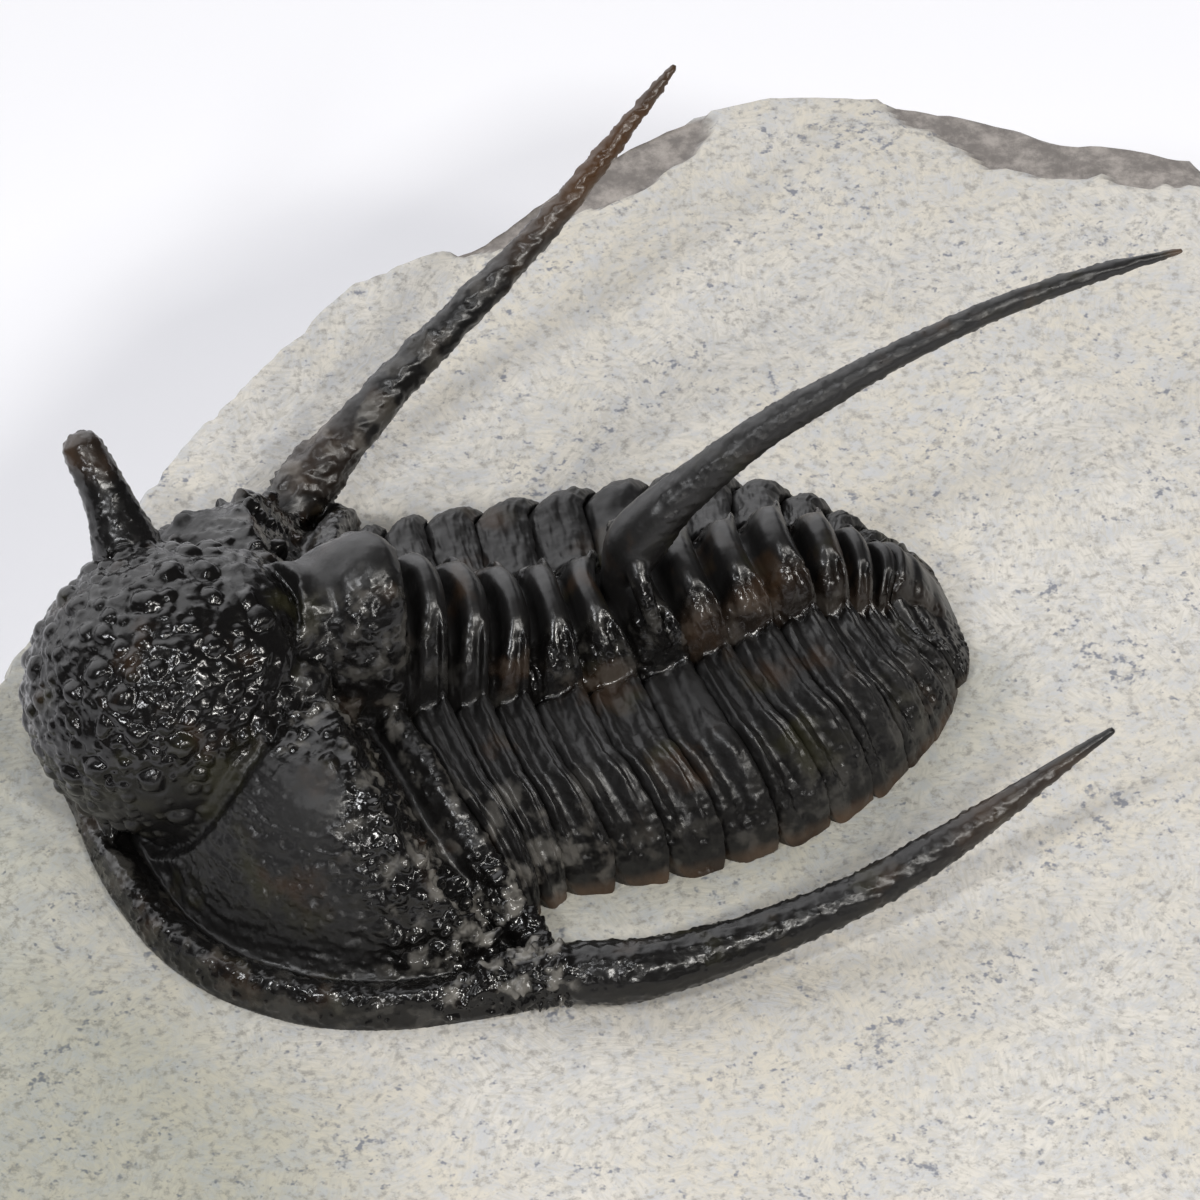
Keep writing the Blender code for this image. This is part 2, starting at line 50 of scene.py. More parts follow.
# Plate boundaries, from the back of the head to the back of the twelfth thoracic segment
CENTRE_X = (-0.10, 0.93, 2.02, 3.02, 3.97, 4.90, 6.20, 7.42, 8.58, 9.75, 10.95, 11.78, 12.50)
FURROW_X = (-0.45, 0.60, 1.60, 2.62, 4.00, 5.40, 6.74, 7.74, 8.93, 10.04, 10.93, 11.60, 12.12)
FURROW_Y = (1.92, 1.90, 1.90, 1.90, 1.88, 1.85, 1.82, 1.76, 1.66, 1.52, 1.34, 1.12, 0.90)
FULCRUM_X = (0.05, 0.85, 1.78, 2.78, 4.10, 5.45, 7.00, 8.14, 9.40, 10.52, 11.40, 12.05, 12.52)
FULCRUM_Y = (4.40, 4.35, 4.30, 4.30, 4.25, 4.20, 4.15, 4.00, 3.70, 3.25, 2.75, 2.20, 1.70)
TIP_X = (1.10, 1.75, 2.45, 3.75, 5.10, 6.50, 7.90, 9.30, 10.50, 11.55, 12.40, 13.05, 13.45)
TIP_Y = (6.70, 6.25, 6.05, 6.15, 6.25, 6.22, 6.05, 5.66, 5.12, 4.45, 3.75, 3.02, 2.35)
TIP_SWEEP_POWER = 1.05
RIGHT_SHIFT = (0.106, 0.05, 0.0, -0.05, -0.06, -0.07, -0.06, -0.03) + (0.0,) * 5
RIGHT_WIDTH = (0.88, 0.95, 0.99, 0.95, 0.94, 0.94, 0.94, 0.93, 0.92, 0.91, 0.90, 0.90, 0.90)
RING_Z = (5.95, 5.20, 4.65, 4.40, 4.35, 4.45, 4.60, 4.65, 4.85, 4.35, 3.60, 2.95)
FURROW_Z = (3.45, 3.25, 2.98, 2.80, 2.74, 2.82, 3.00, 3.30, 3.42, 3.10, 2.60, 2.15)
FULCRUM_Z = (3.05, 2.95, 2.90, 2.90, 2.85, 2.80, 2.85, 2.85, 2.75, 2.45, 2.05, 1.70)
TIP_Z = 0.35
RING_ARCH = (2.0, 0.5)
SHOULDER_DIP = 0.10
PLEURA_FALL = 0.85
PROFILE_PITCH = 1.15
TIP_RELIEF = 0.7
# Strength of a segment's section at each station
PLEURA_RELIEF = ((1.0, 1.25, 1.9, 2.3, 3.0), (1.0, 0.5, 0.6, 1.0, TIP_RELIEF))
TIP_OVERHANG = 0.08
TIP_OVERHANG_START = 2.5
TIP_ROUNDING_START = 2.7
TIP_WIDTHS = (0.3, 0.3, 0.3, 0.3, 0.35, 0.4, 0.5, 0.65, 0.8, 0.88, 0.92, 0.92)
TIP_EDGE = (2.80, 3.0)
BASE_Z = -0.04
SPINE_SEGMENT = 6
TAIL_NUMBER = 13

# Section of a thoracic segment from its tucked front edge over the crest to its rear lip
RING_SECTION = ((-0.10, -1.0), (0.02, -0.90), (0.14, -0.84), (0.24, -0.72), (0.33, -0.44), (0.43, -0.16),
                (0.56, -0.02), (0.68, 0.0), (0.78, -0.02), (0.88, -0.12), (0.96, -0.28), (1.02, -0.46),
                (0.99, -0.62))
FLANK_SECTION = ((-0.10, -1.0), (0.02, -0.84), (0.12, -0.74), (0.22, -0.58), (0.32, -0.34), (0.44, -0.20),
                 (0.58, -0.16), (0.68, -0.24), (0.76, -0.20), (0.84, 0.03), (0.90, 0.05), (0.98, -0.20),
                 (0.97, -0.62))
PLEURA_SECTION = ((-0.06, -0.75), (0.02, -0.40), (0.10, -0.14), (0.17, -0.08), (0.25, -0.20), (0.38, -0.40),
                  (0.50, -0.38), (0.60, -0.14), (0.70, 0.03), (0.79, -0.06), (0.87, -0.04), (0.98, -0.18),
                  (0.97, -0.52))
FAR_PLEURA_SECTION = ((-0.06, -0.75), (0.02, -0.54), (0.08, -0.38), (0.15, -0.25), (0.24, -0.14),
                      (0.35, -0.05), (0.47, -0.01), (0.59, 0.0), (0.70, -0.03), (0.80, -0.11),
                      (0.89, -0.24), (0.98, -0.42), (0.97, -0.62))
WRINKLE = 0.055
# Strength of the granules on the flanks of the axial rings, and of the tail's axis
FLANK_GRAINS = (0.5, 0.4, 0.5, 0.9, 1.0, 1.0, 0.8, 0.8, 0.8, 0.7, 0.5, 0.4, 0.4)
SECTION_STEPS = 52
STATION_STEPS = 360

# Tail shield
TAIL_END_X = 14.05
TAIL_END_CURVE = 0.35
TAIL_END_WIDTH = 0.94
TAIL_CRESTS = (2.90, 2.20, 1.65)
TAIL_RIBS = ((0.0, -0.20), (0.14, 0.0), (0.30, -0.16), (0.44, 0.0), (0.60, -0.12), (0.74, 0.0),
             (0.90, -0.06), (1.0, 0.0))
TAIL_FALL = 1.5
TAIL_STEPS = 90

# Head
HEAD_SIDE = ((-8.38, 0.0), (-8.34, 1.4), (-8.18, 2.8), (-7.70, 4.7), (-6.88, 6.22), (-5.93, 7.25),
             (-4.49, 8.25), (-2.75, 8.85), (-1.00, 9.10), (0.50, 9.20))
GENAL_CORNER = ((1.25, 8.75), (1.45, 7.90), (1.42, 7.20))
HEAD_SPINE_X = -3.6
HEAD_SPINE_SPREAD = 0.55
BORDER_PROFILE = ((0.0, 0.30), (0.07, 0.66), (0.2, 0.90), (0.45, 1.0), (0.7, 0.90), (0.88, 0.68),
                  (1.05, 0.52))
CHEEK_PROFILE = ((1.05, 0.52), (1.2, 0.72), (1.6, 1.9), (2.2, 3.3), (2.8, 4.2), (3.5, 4.75), (4.5, 5.05))
HIND_CREST = ((1.92, 3.50), (3.7, 3.35), (4.4, 3.10), (5.7, 2.35), (6.6, 1.45), (7.3, 0.95), (8.5, 0.95))
HIND_PROFILE = ((0.0, -0.40), (0.15, -0.10), (0.35, 0.0), (0.6, -0.04), (0.9, -0.24), (1.15, -0.52),
                (1.4, -0.52), (1.6, -0.35))
HIND_RISE = 1.5
HIND_WIDTH = 0.78
OCCIPITAL_Z = 7.15
OCCIPITAL_WIDTH = 1.55
OCCIPITAL_ARCH = (2.0, 0.5)
SHALLOWEST_INSET = 0.55
LONGEST_INSET = 0.7
HEAD_INSET_END = 1.6
GLABELLA_CENTRE = (-5.75, 0.0, 3.62)
GLABELLA_RADII = (3.55, 3.45, 3.55)
GLABELLA_FLOOR = 0.45
GLABELLA_BACK_CENTRE = (-4.45, 0.0, 4.55)
GLABELLA_BACK_RADII = (2.15, 2.75, 2.4)
# Eye: a low smooth dome on the cheek, and tubercles by spacing, radius, height, draws and seed
EYE_SPOT = (-3.75, 5.0, 4.45)
EYE_REACH = 1.25
EYE_RISE = 0.18
TUBERCLES = ((0.85, 0.26, 0.13, 1300, 1), (0.54, 0.20, 0.085, 4200, 2), (0.36, 0.13, 0.05, 9000, 3))
# A tubercle's farthest place off the surface and its reach, in radii, its wavering outline and its groove
FARTHEST_SPOT = 0.8
TUBERCLE_REACH = 1.6
TUBERCLE_WARP = 0.45
GROOVE_WIDTH = 0.45
GROOVE_DEPTH = 0.3
# Share of the small relief that tubercles of at least a height have
LEAST_TUBERCLE = 0.02
RELIEF_ON_TUBERCLES = 0.5
# Heights of small, middle and large granules, of lumps and of fibres in regions of the head
HEAD_GRAINS = {"cheek": (0.03, 0.11, 0.16, 0.10), "corner": (0.03, 0.10, 0.13, 0.08),
               "border": (0.045, 0.05, 0.0, 0.06), "hind": (0.03, 0.04, 0.0, 0.08),
               "flank": (0.01, 0.04, 0.07), "left spine": (0.025, 0.025, 0.0, 0.0, 0.030),
               "horn": (0.025, 0.02)}
DOME_SKIN = (0.02, 0.06)
BASAL_LOBE_CENTRE = (-3.05, 1.85, 4.7)
BASAL_LOBE_RADII = (0.75, 0.7, 0.85)
HEAD_VOXEL = 0.066
HEAD_SHARE = 0.65

# Spines: centre-line points and the radius at each, from root to tip
LEFT_SPINE = ((-1.6, -8.6, 0.56, 0.36), (-0.6, -8.65, 0.62, 0.50), (0.6, -8.75, 0.76, 0.66),
              (2.15, -9.2, 0.86, 0.76), (3.1, -9.44, 0.88, 0.74), (5.05, -9.47, 0.98, 0.63),
              (7.1, -9.34, 1.22, 0.55), (8.9, -9.2, 1.60, 0.50), (10.7, -8.88, 2.10, 0.46),
              (12.3, -8.59, 2.70, 0.34), (13.9, -8.27, 3.35, 0.21), (15.3, -8.09, 4.0, 0.10))
RIGHT_SPINE = ((-1.9, 6.7, 0.80, 0.50), (-0.95, 7.4, 0.92, 0.66), (-0.3, 7.9, 1.22, 0.78),
               (0.4, 8.25, 1.60, 0.70), (1.45, 8.8, 2.10, 0.57), (2.8, 9.45, 2.85, 0.50),
               (5.15, 10.35, 4.15, 0.43), (6.45, 10.85, 4.90, 0.37), (7.9, 11.5, 5.80, 0.32),
               (9.2, 12.1, 6.75, 0.25), (10.2, 12.55, 7.50, 0.17), (10.9, 12.9, 8.0, 0.09))
AXIAL_SPINE = ((5.52, 0.0, 3.2, 0.50), (5.60, 0.0, 4.3, 0.58), (5.86, 0.0, 5.15, 0.74),
               (6.40, 0.0, 5.92, 0.67), (7.1, 0.0, 6.6, 0.56), (8.2, 0.0, 7.5, 0.48), (9.3, 0.0, 8.25, 0.43),
               (10.5, 0.0, 8.85, 0.39), (12.45, 0.0, 9.73, 0.31), (14.95, 0.0, 10.56, 0.27),
               (17.45, 0.0, 11.0, 0.20), (19.57, 0.0, 11.13, 0.07))
HORN = ((-5.95, 1.9, 5.0, 0.95), (-6.02, 2.7, 5.75, 0.86), (-6.18, 3.5, 6.45, 0.64), (-6.35, 4.1, 7.05, 0.54),
        (-6.55, 4.65, 7.55, 0.50), (-6.62, 4.85, 7.74, 0.40), (-6.66, 4.95, 7.86, 0.16))
# Low ridge from the axial spine's root down each flank of its ring
SPINE_RIDGE = ((5.75, 0.30, 5.25, 0.34), (5.72, 0.95, 4.75, 0.27), (5.85, 1.45, 4.0, 0.20),
               (6.1, 1.72, 3.2, 0.13))
SPINE_SIDES = 28
SPINE_STEPS = 150
RIDGE_STEPS = 40
RING_SPINE_VOXEL = 0.068

# Rock
ROCK_OUTLINE = ((-8.71, 5.5), (-5.88, 8.05), (-3.48, 10.76), (-0.59, 13.2), (3.08, 15.86), (7.43, 16.92),
                (10.05, 18.38), (13.11, 19.42), (15.64, 19.5), (19.65, 18.22), (22.3, 16.2), (25.8, 14.35),
                (28.2, 6.0), (28.5, -6.0), (26.0, -15.0), (19.0, -20.5), (8.0, -21.5), (-4.0, -20.0),
                (-11.5, -15.5), (-15.0, -8.0), (-13.0, -0.5), (-10.6, 3.0))
ROCK_CENTRE = (3.5, -1.5)
ROCK_RAYS = 620
ROCK_RINGS = 118
ROCK_SIDE = ((1.0, -0.5), (0.995, -1.8), (0.975, -4.6), (0.985, -7.6), (0.955, -10.8), (0.94, -13.0),
             (0.93, -14.0))
ROCK_SIDE_STEPS = 26
SEAT_RADII = (14.5, 12.5)
SEAT_CENTRE = (3.0, 0.0)
SEAT_BLEND = 2.5
TOP_SWELL = 0.55
TOP_WAVES = 0.13
EDGE_DROP = 0.45
EDGE_DROP_START = 1.2
SIDE_BREAK = 0.045
SIDE_WAVES = (3.1, 0.3)

# Dark weathered patches on the top face, as lines along its edge
CRUSTS = (((7.0, 17.1), (8.6, 17.4), (10.4, 18.0), (12.2, 18.9)),
          ((19.6, 18.2), (20.6, 16.6), (22.6, 15.2), (25.6, 14.0), (29.0, 12.5)))
CRUST_WIDTH = 1.25
CRUST_EDGE = 0.25
CRUST_DEPTH = 0.25
# Way in plan along which painted shade makes the stone's lower left, seen from the camera, darker
SHADE_WAY = (0.97, 0.25)
SHADE_EDGE = (-11.5, -4.0)
# Reach and strength of the painted shadow on the stone along the plates' left tips
TIP_SHADOW_REACH = (0.3, 2.6)
TIP_SHADOW = 0.65

# Colours of the shell and of the stone, whose shade colour is painted shade
SHELL = {"matt": (0.0085, 0.0081, 0.0080), "glossy": (0.0040, 0.0036, 0.0034), "brown": (0.024, 0.014, 0.008),
         "olive": (0.018, 0.017, 0.009), "rim": (0.030, 0.019, 0.012), "pale rim": (0.084, 0.052, 0.032),
         "scuff": (0.150, 0.142, 0.128), "amber": (0.055, 0.024, 0.007)}
STONE = {"ochre": (0.575, 0.537, 0.462), "cream": (0.618, 0.592, 0.544), "grey": (0.492, 0.496, 0.502),
         "stroke": (0.495, 0.475, 0.432), "grain": (0.340, 0.325, 0.300), "speck": (0.215, 0.223, 0.25),
         "shade": (0.64, 0.66, 0.62), "crust": (0.17, 0.155, 0.145), "pale crust": (0.36, 0.33, 0.305)}

# Camera: the photograph's viewing direction, and the point at the middle of its frame
TARGET = (5.23, 0.84, 2.5)
BACK = (-0.1994, -0.6522, 0.7314)
CAMERA_DISTANCE = 200.0
LENS = 246.0
SENSOR = 36.0
FLOOR_SIZE = 4.0
FLOOR_COLOUR = (0.90, 0.90, 0.93)
# The world is bright on one side: its direction, and the cosines between which it grows dark
BRIGHT_SIDE = (-0.25, 0.87, 0.42)
BRIGHT_EDGE = (0.47, 0.88)
DARK = (0.028, 0.028, 0.030)
BRIGHT = (1.0, 1.0, 1.02)
BACKDROP = (0.585, 0.585, 0.609)
WORLD_STRENGTH = 2.0
# Lamps: place from the middle of the frame, width, power and colour
LAMPS = (("lamp_right", (20.0, -150.0, 150.0), 24.0, 0.19, (1.0, 0.98, 0.94)),
         ("lamp_left", (-120.0, -80.0, 150.0), 22.0, 0.12, (0.97, 0.98, 1.0)),
         ("lamp_side", (110.0, -120.0, 130.0), 20.0, 0.09, (1.0, 0.97, 0.92)),
         ("lamp_low", (-50.0, -190.0, 80.0), 10.0, 0.045, (1.0, 0.98, 0.96)),
         ("lamp_high", (-30.0, -70.0, 200.0), 14.0, 0.05, (0.98, 0.99, 1.0)))


def hashed(cell, seed):
    """Three seeded random numbers from 0 to 1 for each whole-numbered cell."""
    key = (cell.astype(np.int64) + 40000).astype(np.uint64)
    mixed = np.uint64(seed * 9781 + 17)
    for column, prime in enumerate((73856093, 19349663, 83492791)):
        mixed = mixed ^ key[:, column] * np.uint64(prime)
    low = np.uint64(0xFFFFFFFF)
    numbers = []
    for turn in range(3):
        mixed = ((mixed ^ (mixed >> np.uint64(15))) * np.uint64(2246822519) + np.uint64(turn)) & low
        mixed = ((mixed ^ (mixed >> np.uint64(13))) * np.uint64(3266489917)) & low
        numbers.append(mixed.astype(float) / float(0xFFFFFFFF))
    return np.stack(numbers, 1)


def waves(points, size, seed):
    """Gradient noise of the given wavelength, about -0.6 to 0.6."""
    spot = points / size
    cell = np.floor(spot)
    part = spot - cell
    fade = part * part * part * (part * (part * 6.0 - 15.0) + 10.0)
    total = np.zeros(len(points))
    for corner in range(8):
        step = np.array((corner & 1, corner >> 1 & 1, corner >> 2 & 1), float)
        slope = hashed(cell + step, seed) * 2.0 - 1.0
        weight = np.prod(np.where(step > 0.5, fade, 1.0 - fade), 1)
        total += weight * ((part - step) * slope).sum(1)
    return total


def rough(points, size, octaves, seed):
    """Fractal gradient noise whose coarsest waves have the given size."""
    total = np.zeros(len(points))
    for octave in range(octaves):
        total += waves(points, size / 2.0 ** octave, seed + octave) / 2.0 ** octave
    return total


def cells(points, size, seed):
    """Distances to the nearest two of points scattered about a cell apart, and a mark of the nearest one."""
    spot = points / size
    home = np.floor(spot)
    near = np.full(len(points), 9.0)
    second = np.full(len(points), 9.0)
    mark = np.zeros(len(points))
    for step in np.ndindex(3, 3, 3):
        cell = home + np.array(step) - 1.0
        drawn = hashed(cell, seed)
        away = np.sqrt(((cell + drawn - spot) ** 2).sum(1))
        closer = away < near
        second = np.where(closer, near, np.minimum(second, away))
        mark = np.where(closer, (drawn[:, 0] * 7.0 + drawn[:, 1] * 5.0) % 1.0, mark)
        near = np.where(closer, away, near)
    return near * size, second * size, mark


def granules(points, size, share, seed):
    """Low round grains from 0 to 1 high, about the given size apart, of which a share is there."""
    near, _, mark = cells(points, size, seed)
    reach = size * (0.36 + 0.22 * mark / share)
    dome = np.clip(1.0 - (near / reach) ** 2, 0.0, 1.0) ** 0.8
    return np.where(mark < share, dome, 0.0)


def ramp(value, low, high):
    """Smooth step from 0 at low to 1 at high."""
    part = np.clip((value - low) / (high - low), 0.0, 1.0)
    return part * part * (3.0 - 2.0 * part)


def fall(value, low, high):
    """Smooth step from 1 at low to 0 at high."""
    return 1.0 - ramp(value, low, high)


def smooth(profile, position):
    """A profile's values read along a smooth curve through its points."""
    places, values = (np.array(column, float) for column in zip(*profile))
    slopes = np.gradient(values, places)
    position = np.clip(position, places[0], places[-1])
    start = np.clip(np.searchsorted(places, position, side="right") - 1, 0, len(places) - 2)
    width = places[start + 1] - places[start]
    part = (position - places[start]) / width
    rest = 1.0 - part
    return (values[start] * rest ** 2 * (1.0 + 2.0 * part)
            + values[start + 1] * part ** 2 * (3.0 - 2.0 * part)
            + slopes[start] * width * part * rest ** 2 - slopes[start + 1] * width * part ** 2 * rest)


def spline(points, steps):
    """Evenly spaced points of a smooth curve through the points, whatever they hold."""
    knots = np.array(points, float)
    spread = np.linspace(0.0, len(knots) - 1.0, steps)
    start = np.minimum(spread.astype(int), len(knots) - 2)
    part = (spread - start)[:, None]
    before = knots[np.maximum(start - 1, 0)]
    after = knots[np.minimum(start + 2, len(knots) - 1)]
    near, far = knots[start], knots[start + 1]
    return 0.5 * (2.0 * near + (far - before) * part
                  + (2.0 * before - 5.0 * near + 4.0 * far - after) * part ** 2
                  + (3.0 * near - before - 3.0 * far + after) * part ** 3)


def pushed(index, x, y, side):
    """Plan positions on each side, with the push that the right side has at a boundary."""
    right = side > 0
    return (np.where(right, x - RIGHT_SHIFT[index] * y, x),
            np.where(right, y * RIGHT_WIDTH[index], -y))


def boundary(index, signed):
    """Plan position of a plate boundary at signed stations, -3 at the left tip to 3 at the right one."""
    station = np.abs(signed)
    inner = np.minimum(station, 1.0)
    x = CENTRE_X[index] + (FURROW_X[index] - CENTRE_X[index]) * inner ** 2
    y = FURROW_Y[index] * inner
    middle = np.clip(station - 1.0, 0.0, 1.0)
    x = x + (FULCRUM_X[index] - FURROW_X[index]) * middle
    y = y + (FULCRUM_Y[index] - FURROW_Y[index]) * middle
    outer = np.clip(station - 2.0, 0.0, 1.0)
    x = x + (TIP_X[index] - FULCRUM_X[index]) * outer ** TIP_SWEEP_POWER
    y = y + (TIP_Y[index] - FULCRUM_Y[index]) * outer
    return pushed(index, x, y, np.where(signed >= 0, 1, -1))


def crest_height(ring, furrow, fulcrum, signed):
    """Height across a plate: an arched ring, a shoulder, and pleurae that curve down."""
    station = np.abs(signed)
    arch = furrow + (ring - furrow) * np.maximum(0.0, 1.0 - station ** RING_ARCH[0]) ** RING_ARCH[1]
    middle = np.clip(station - 1.0, 0.0, 1.0)
    shelf = furrow + (fulcrum - furrow) * middle - SHOULDER_DIP * np.sin(math.pi * middle)
    outer = np.clip(station - 2.0, 0.0, 1.0)
    fall = TIP_Z + (fulcrum - TIP_Z) * np.maximum(0.0, np.cos(outer * math.pi / 2)) ** PLEURA_FALL
    return np.where(station <= 1.0, arch, np.where(station <= 2.0, shelf, fall))


def closed_faces(rows, columns, inward=False):
    """Quads between rings of points, with a face over the first ring and over the last one."""
    row = np.arange(rows - 1)[:, None]
    column = np.arange(columns)[None, :]
    after = (column + 1) % columns
    quads = np.stack([row * columns + column, row * columns + after,
                      (row + 1) * columns + after, (row + 1) * columns + column], -1)
    faces = quads.reshape(-1, 4).tolist()
    faces.append(list(range(columns))[::-1])
    faces.append(list(range((rows - 1) * columns, rows * columns)))
    return [face[::-1] for face in faces] if inward else faces


def make_mesh(name, points, faces):
    mesh = bpy.data.meshes.new(name)
    mesh.from_pydata(points.tolist(), [], faces)
    mesh.update()
    return mesh


def coordinates(mesh):
    points = np.empty(len(mesh.vertices) * 3)
    mesh.vertices.foreach_get("co", points)
    return points.reshape(-1, 3)


def normals(mesh):
    directions = np.empty(len(mesh.vertices) * 3, np.float32)
    mesh.vertex_normals.foreach_get("vector", directions)
    return directions.reshape(-1, 3).astype(float)


def set_coordinates(mesh, points):
    mesh.vertices.foreach_set("co", points.ravel())
    mesh.update()


def displace(mesh, points, rise):
    """Move the mesh's vertices to the points, raised along its normals."""
    set_coordinates(mesh, points + normals(mesh) * rise[:, None])


def give(mesh, **marks):
    """Numbers for each vertex, which the materials read by their names."""
    for name, values in marks.items():
        mesh.attributes.new(name, "FLOAT", "POINT").data.foreach_set("value", values.astype(np.float32))


def placed(name, data):
    """A new object of the scene."""
    item = bpy.data.objects.new(name, data)
    bpy.context.scene.collection.objects.link(item)
    return item


def finished(name, mesh, material, nodes):
    """The mesh as a piece in the row frame that rides on the body and stands for CAD nodes."""
    set_coordinates(mesh, (coordinates(mesh) + BODY) * MM)
    mesh.shade_smooth()
    mesh.materials.clear()
    mesh.materials.append(material)
    piece = placed(name, mesh)
    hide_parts(*nodes)
    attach(piece, "root")
    return piece


def flat_base(mesh):
    """One face in place of the many that make up a flat underside."""
    body = bmesh.new()
    body.from_mesh(mesh)
    low = [face for face in body.faces
           if face.normal.z < -0.999 and all(corner.co.z < BASE_Z + 0.02 for corner in face.verts)]
    if len(low) > 1:
        bmesh.ops.dissolve_faces(body, faces=low, use_verts=True)
    body.to_mesh(mesh)
    body.free()
    mesh.update()


def edge_distances(points):
    """Distances in plan from points to the head's front and side edge, and to its back edge."""
    from_edge = np.zeros(len(points))
    from_hind = np.zeros(len(points))
    for side in (-1, 1):
        own = (points[:, 1] >= 0) == (side > 0)
        outer, hind = head_edge(side)
        from_edge[own] = distance_to(outer, points[own, :2])
        from_hind[own] = distance_to(hind, points[own, :2])
    return from_edge, from_hind


def modified(name, mesh, *steps):
    """The mesh that modifiers make of a mesh, each step a kind of modifier and its settings."""
    draft = placed(name + "_draft", mesh)
    for kind, settings in steps:
        modifier = draft.modifiers.new(kind, kind)
        for setting, value in settings.items():
            setattr(modifier, setting, value)
    made = bpy.data.meshes.new_from_object(draft.evaluated_get(bpy.context.evaluated_depsgraph_get()))
    made.name = name
    bpy.data.objects.remove(draft)
    return made


def fused(name, forms, voxel, passes):
    """One skin round overlapping closed forms, in quads of about the voxel's size, lightly smoothed."""
    faces, count = [], 0
    for points, form_faces in forms:
        faces += [[corner + count for corner in face] for face in form_faces]
        count += len(points)
    mesh = make_mesh(name + "_draft", np.vstack([points for points, _ in forms]), faces)
    return modified(name, mesh, ("REMESH", {"mode": "VOXEL", "voxel_size": voxel}),
                    ("SMOOTH", {"factor": 0.5, "iterations": passes}))


def tube(knots, steps):
    """A closed round form along a smooth centre-line, with a rounded tip."""
    line = spline(knots, steps)
    centres = line[:, :3]
    ahead = np.gradient(centres, axis=0)
    ahead /= np.linalg.norm(ahead, axis=1)[:, None]
    across = np.cross(ahead, (0.0, 0.0, 1.0))
    across /= np.linalg.norm(across, axis=1)[:, None]
    upward = np.cross(across, ahead)
    turn = np.arange(SPINE_SIDES) / SPINE_SIDES * 2.0 * math.pi
    ring = across[:, None] * np.cos(turn)[:, None] + upward[:, None] * np.sin(turn)[:, None]
    points = (centres[:, None] + ring * line[:, 3, None, None]).reshape(-1, 3)
    return points, closed_faces(steps, SPINE_SIDES)


def ovoid(centre, radii, rows=96, columns=144):
    """A closed ovoid as rings of points, flattened below the head's floor."""
    polar = np.linspace(0.02, math.pi - 0.02, rows)
    turn = np.arange(columns) / columns * 2.0 * math.pi
    x = np.sin(polar)[:, None] * np.cos(turn)
    y = np.sin(polar)[:, None] * np.sin(turn)
    z = np.repeat(np.cos(polar)[:, None], columns, 1)
    points = np.stack([x, y, z], -1).reshape(-1, 3) * np.array(radii) + np.array(centre)
    points[:, 2] = np.maximum(points[:, 2], GLABELLA_FLOOR)
    return points, closed_faces(rows, columns, inward=True)


def distance_to(path, points):
    """Shortest distance in plan from points to an open path."""
    start = path[:-1]
    run = path[1:] - start
    best = np.full(len(points), 1e9)
    for first, way in zip(start, run):
        offset = points - first
        along = np.clip(offset @ way / (way @ way), 0.0, 1.0)
        best = np.minimum(best, ((offset - along[:, None] * way) ** 2).sum(1))
    return np.sqrt(best)


def head_edge(side):
    """One side of the head's edge in plan: its front, and its back from the midline to the corner."""
    paths = (spline(HEAD_SIDE, 150), spline(HEAD_SIDE[-1:] + GENAL_CORNER, 36)[1:])
    outer, corner = (np.stack(pushed(0, *path.T, np.full(len(path), side)), 1) for path in paths)
    hind = np.stack(boundary(0, np.linspace(0.0, 3.0, 90) * side), 1)
    return outer, np.vstack([hind, corner[::-1]])


def head_height(points):
    """Height of the head shield without the glabella: rolled border, cheeks and occipital ring."""
    from_edge, from_hind = edge_distances(points)
    across = np.abs(points[:, 1])
    arch = np.maximum(0.0, 1.0 - (across / FURROW_Y[0]) ** OCCIPITAL_ARCH[0]) ** OCCIPITAL_ARCH[1]
    crest = smooth(HIND_CREST, across) + (OCCIPITAL_Z - HIND_CREST[0][1]) * arch
    width = HIND_WIDTH + (OCCIPITAL_WIDTH - HIND_WIDTH) * np.minimum(1.0, arch * 2.0)
    position = from_hind / width
    last = HIND_PROFILE[-1]
    rise = crest + last[1] + HIND_RISE * (position - last[0])
    level = np.where(position < last[0], crest + smooth(HIND_PROFILE, position),
                     np.minimum(smooth(CHEEK_PROFILE, from_edge), rise))
    return np.where(from_edge < BORDER_PROFILE[-1][0], smooth(BORDER_PROFILE, from_edge), level)


def head_shield():
    """The head's plate as rings inside its outline, closed underneath by a flat face."""
    sides = []
    for side in (1, -1):
        outer, hind = head_edge(side)
        sides.append(np.vstack([outer, hind[::-1]]))
    outline = np.vstack([sides[0], sides[1][-2:0:-1]])
    count = len(outline)
    run = np.roll(outline, -1, axis=0) - np.roll(outline, 1, axis=0)
    normal = np.stack([-run[:, 1], run[:, 0]], 1) / np.hypot(*run.T)[:, None]
    goal = np.stack([np.full(count, HEAD_SPINE_X), outline[:, 1] * HEAD_SPINE_SPREAD], 1)
    way = goal - outline
    length = np.hypot(*way.T)
    slant = np.maximum(abs((normal * way).sum(1)) / length, SHALLOWEST_INSET)
    rings = []
    for inset in np.concatenate([np.linspace(0.0, 0.25, 8), np.linspace(0.3, HEAD_INSET_END, 27)]):
        part = np.minimum(inset / slant / length, LONGEST_INSET)
        rings.append(outline + way * part[:, None])
    inner = rings[-1]
    rings += [inner + (goal - inner) * part for part in np.linspace(0.03, 0.98, 40)]
    plan = np.vstack(rings)
    top = np.column_stack([plan, head_height(plan)])
    bottom = np.column_stack([outline, np.full(count, BASE_Z)])
    return np.vstack([bottom, top]), closed_faces(len(rings) + 1, count)


def tubercle_limit(forward):
    """Height on the glabella, from -1 to 1, below which few tubercles grow: lower on its front."""
    return 0.25 - 0.55 * ramp(forward, 0.35, 0.95)


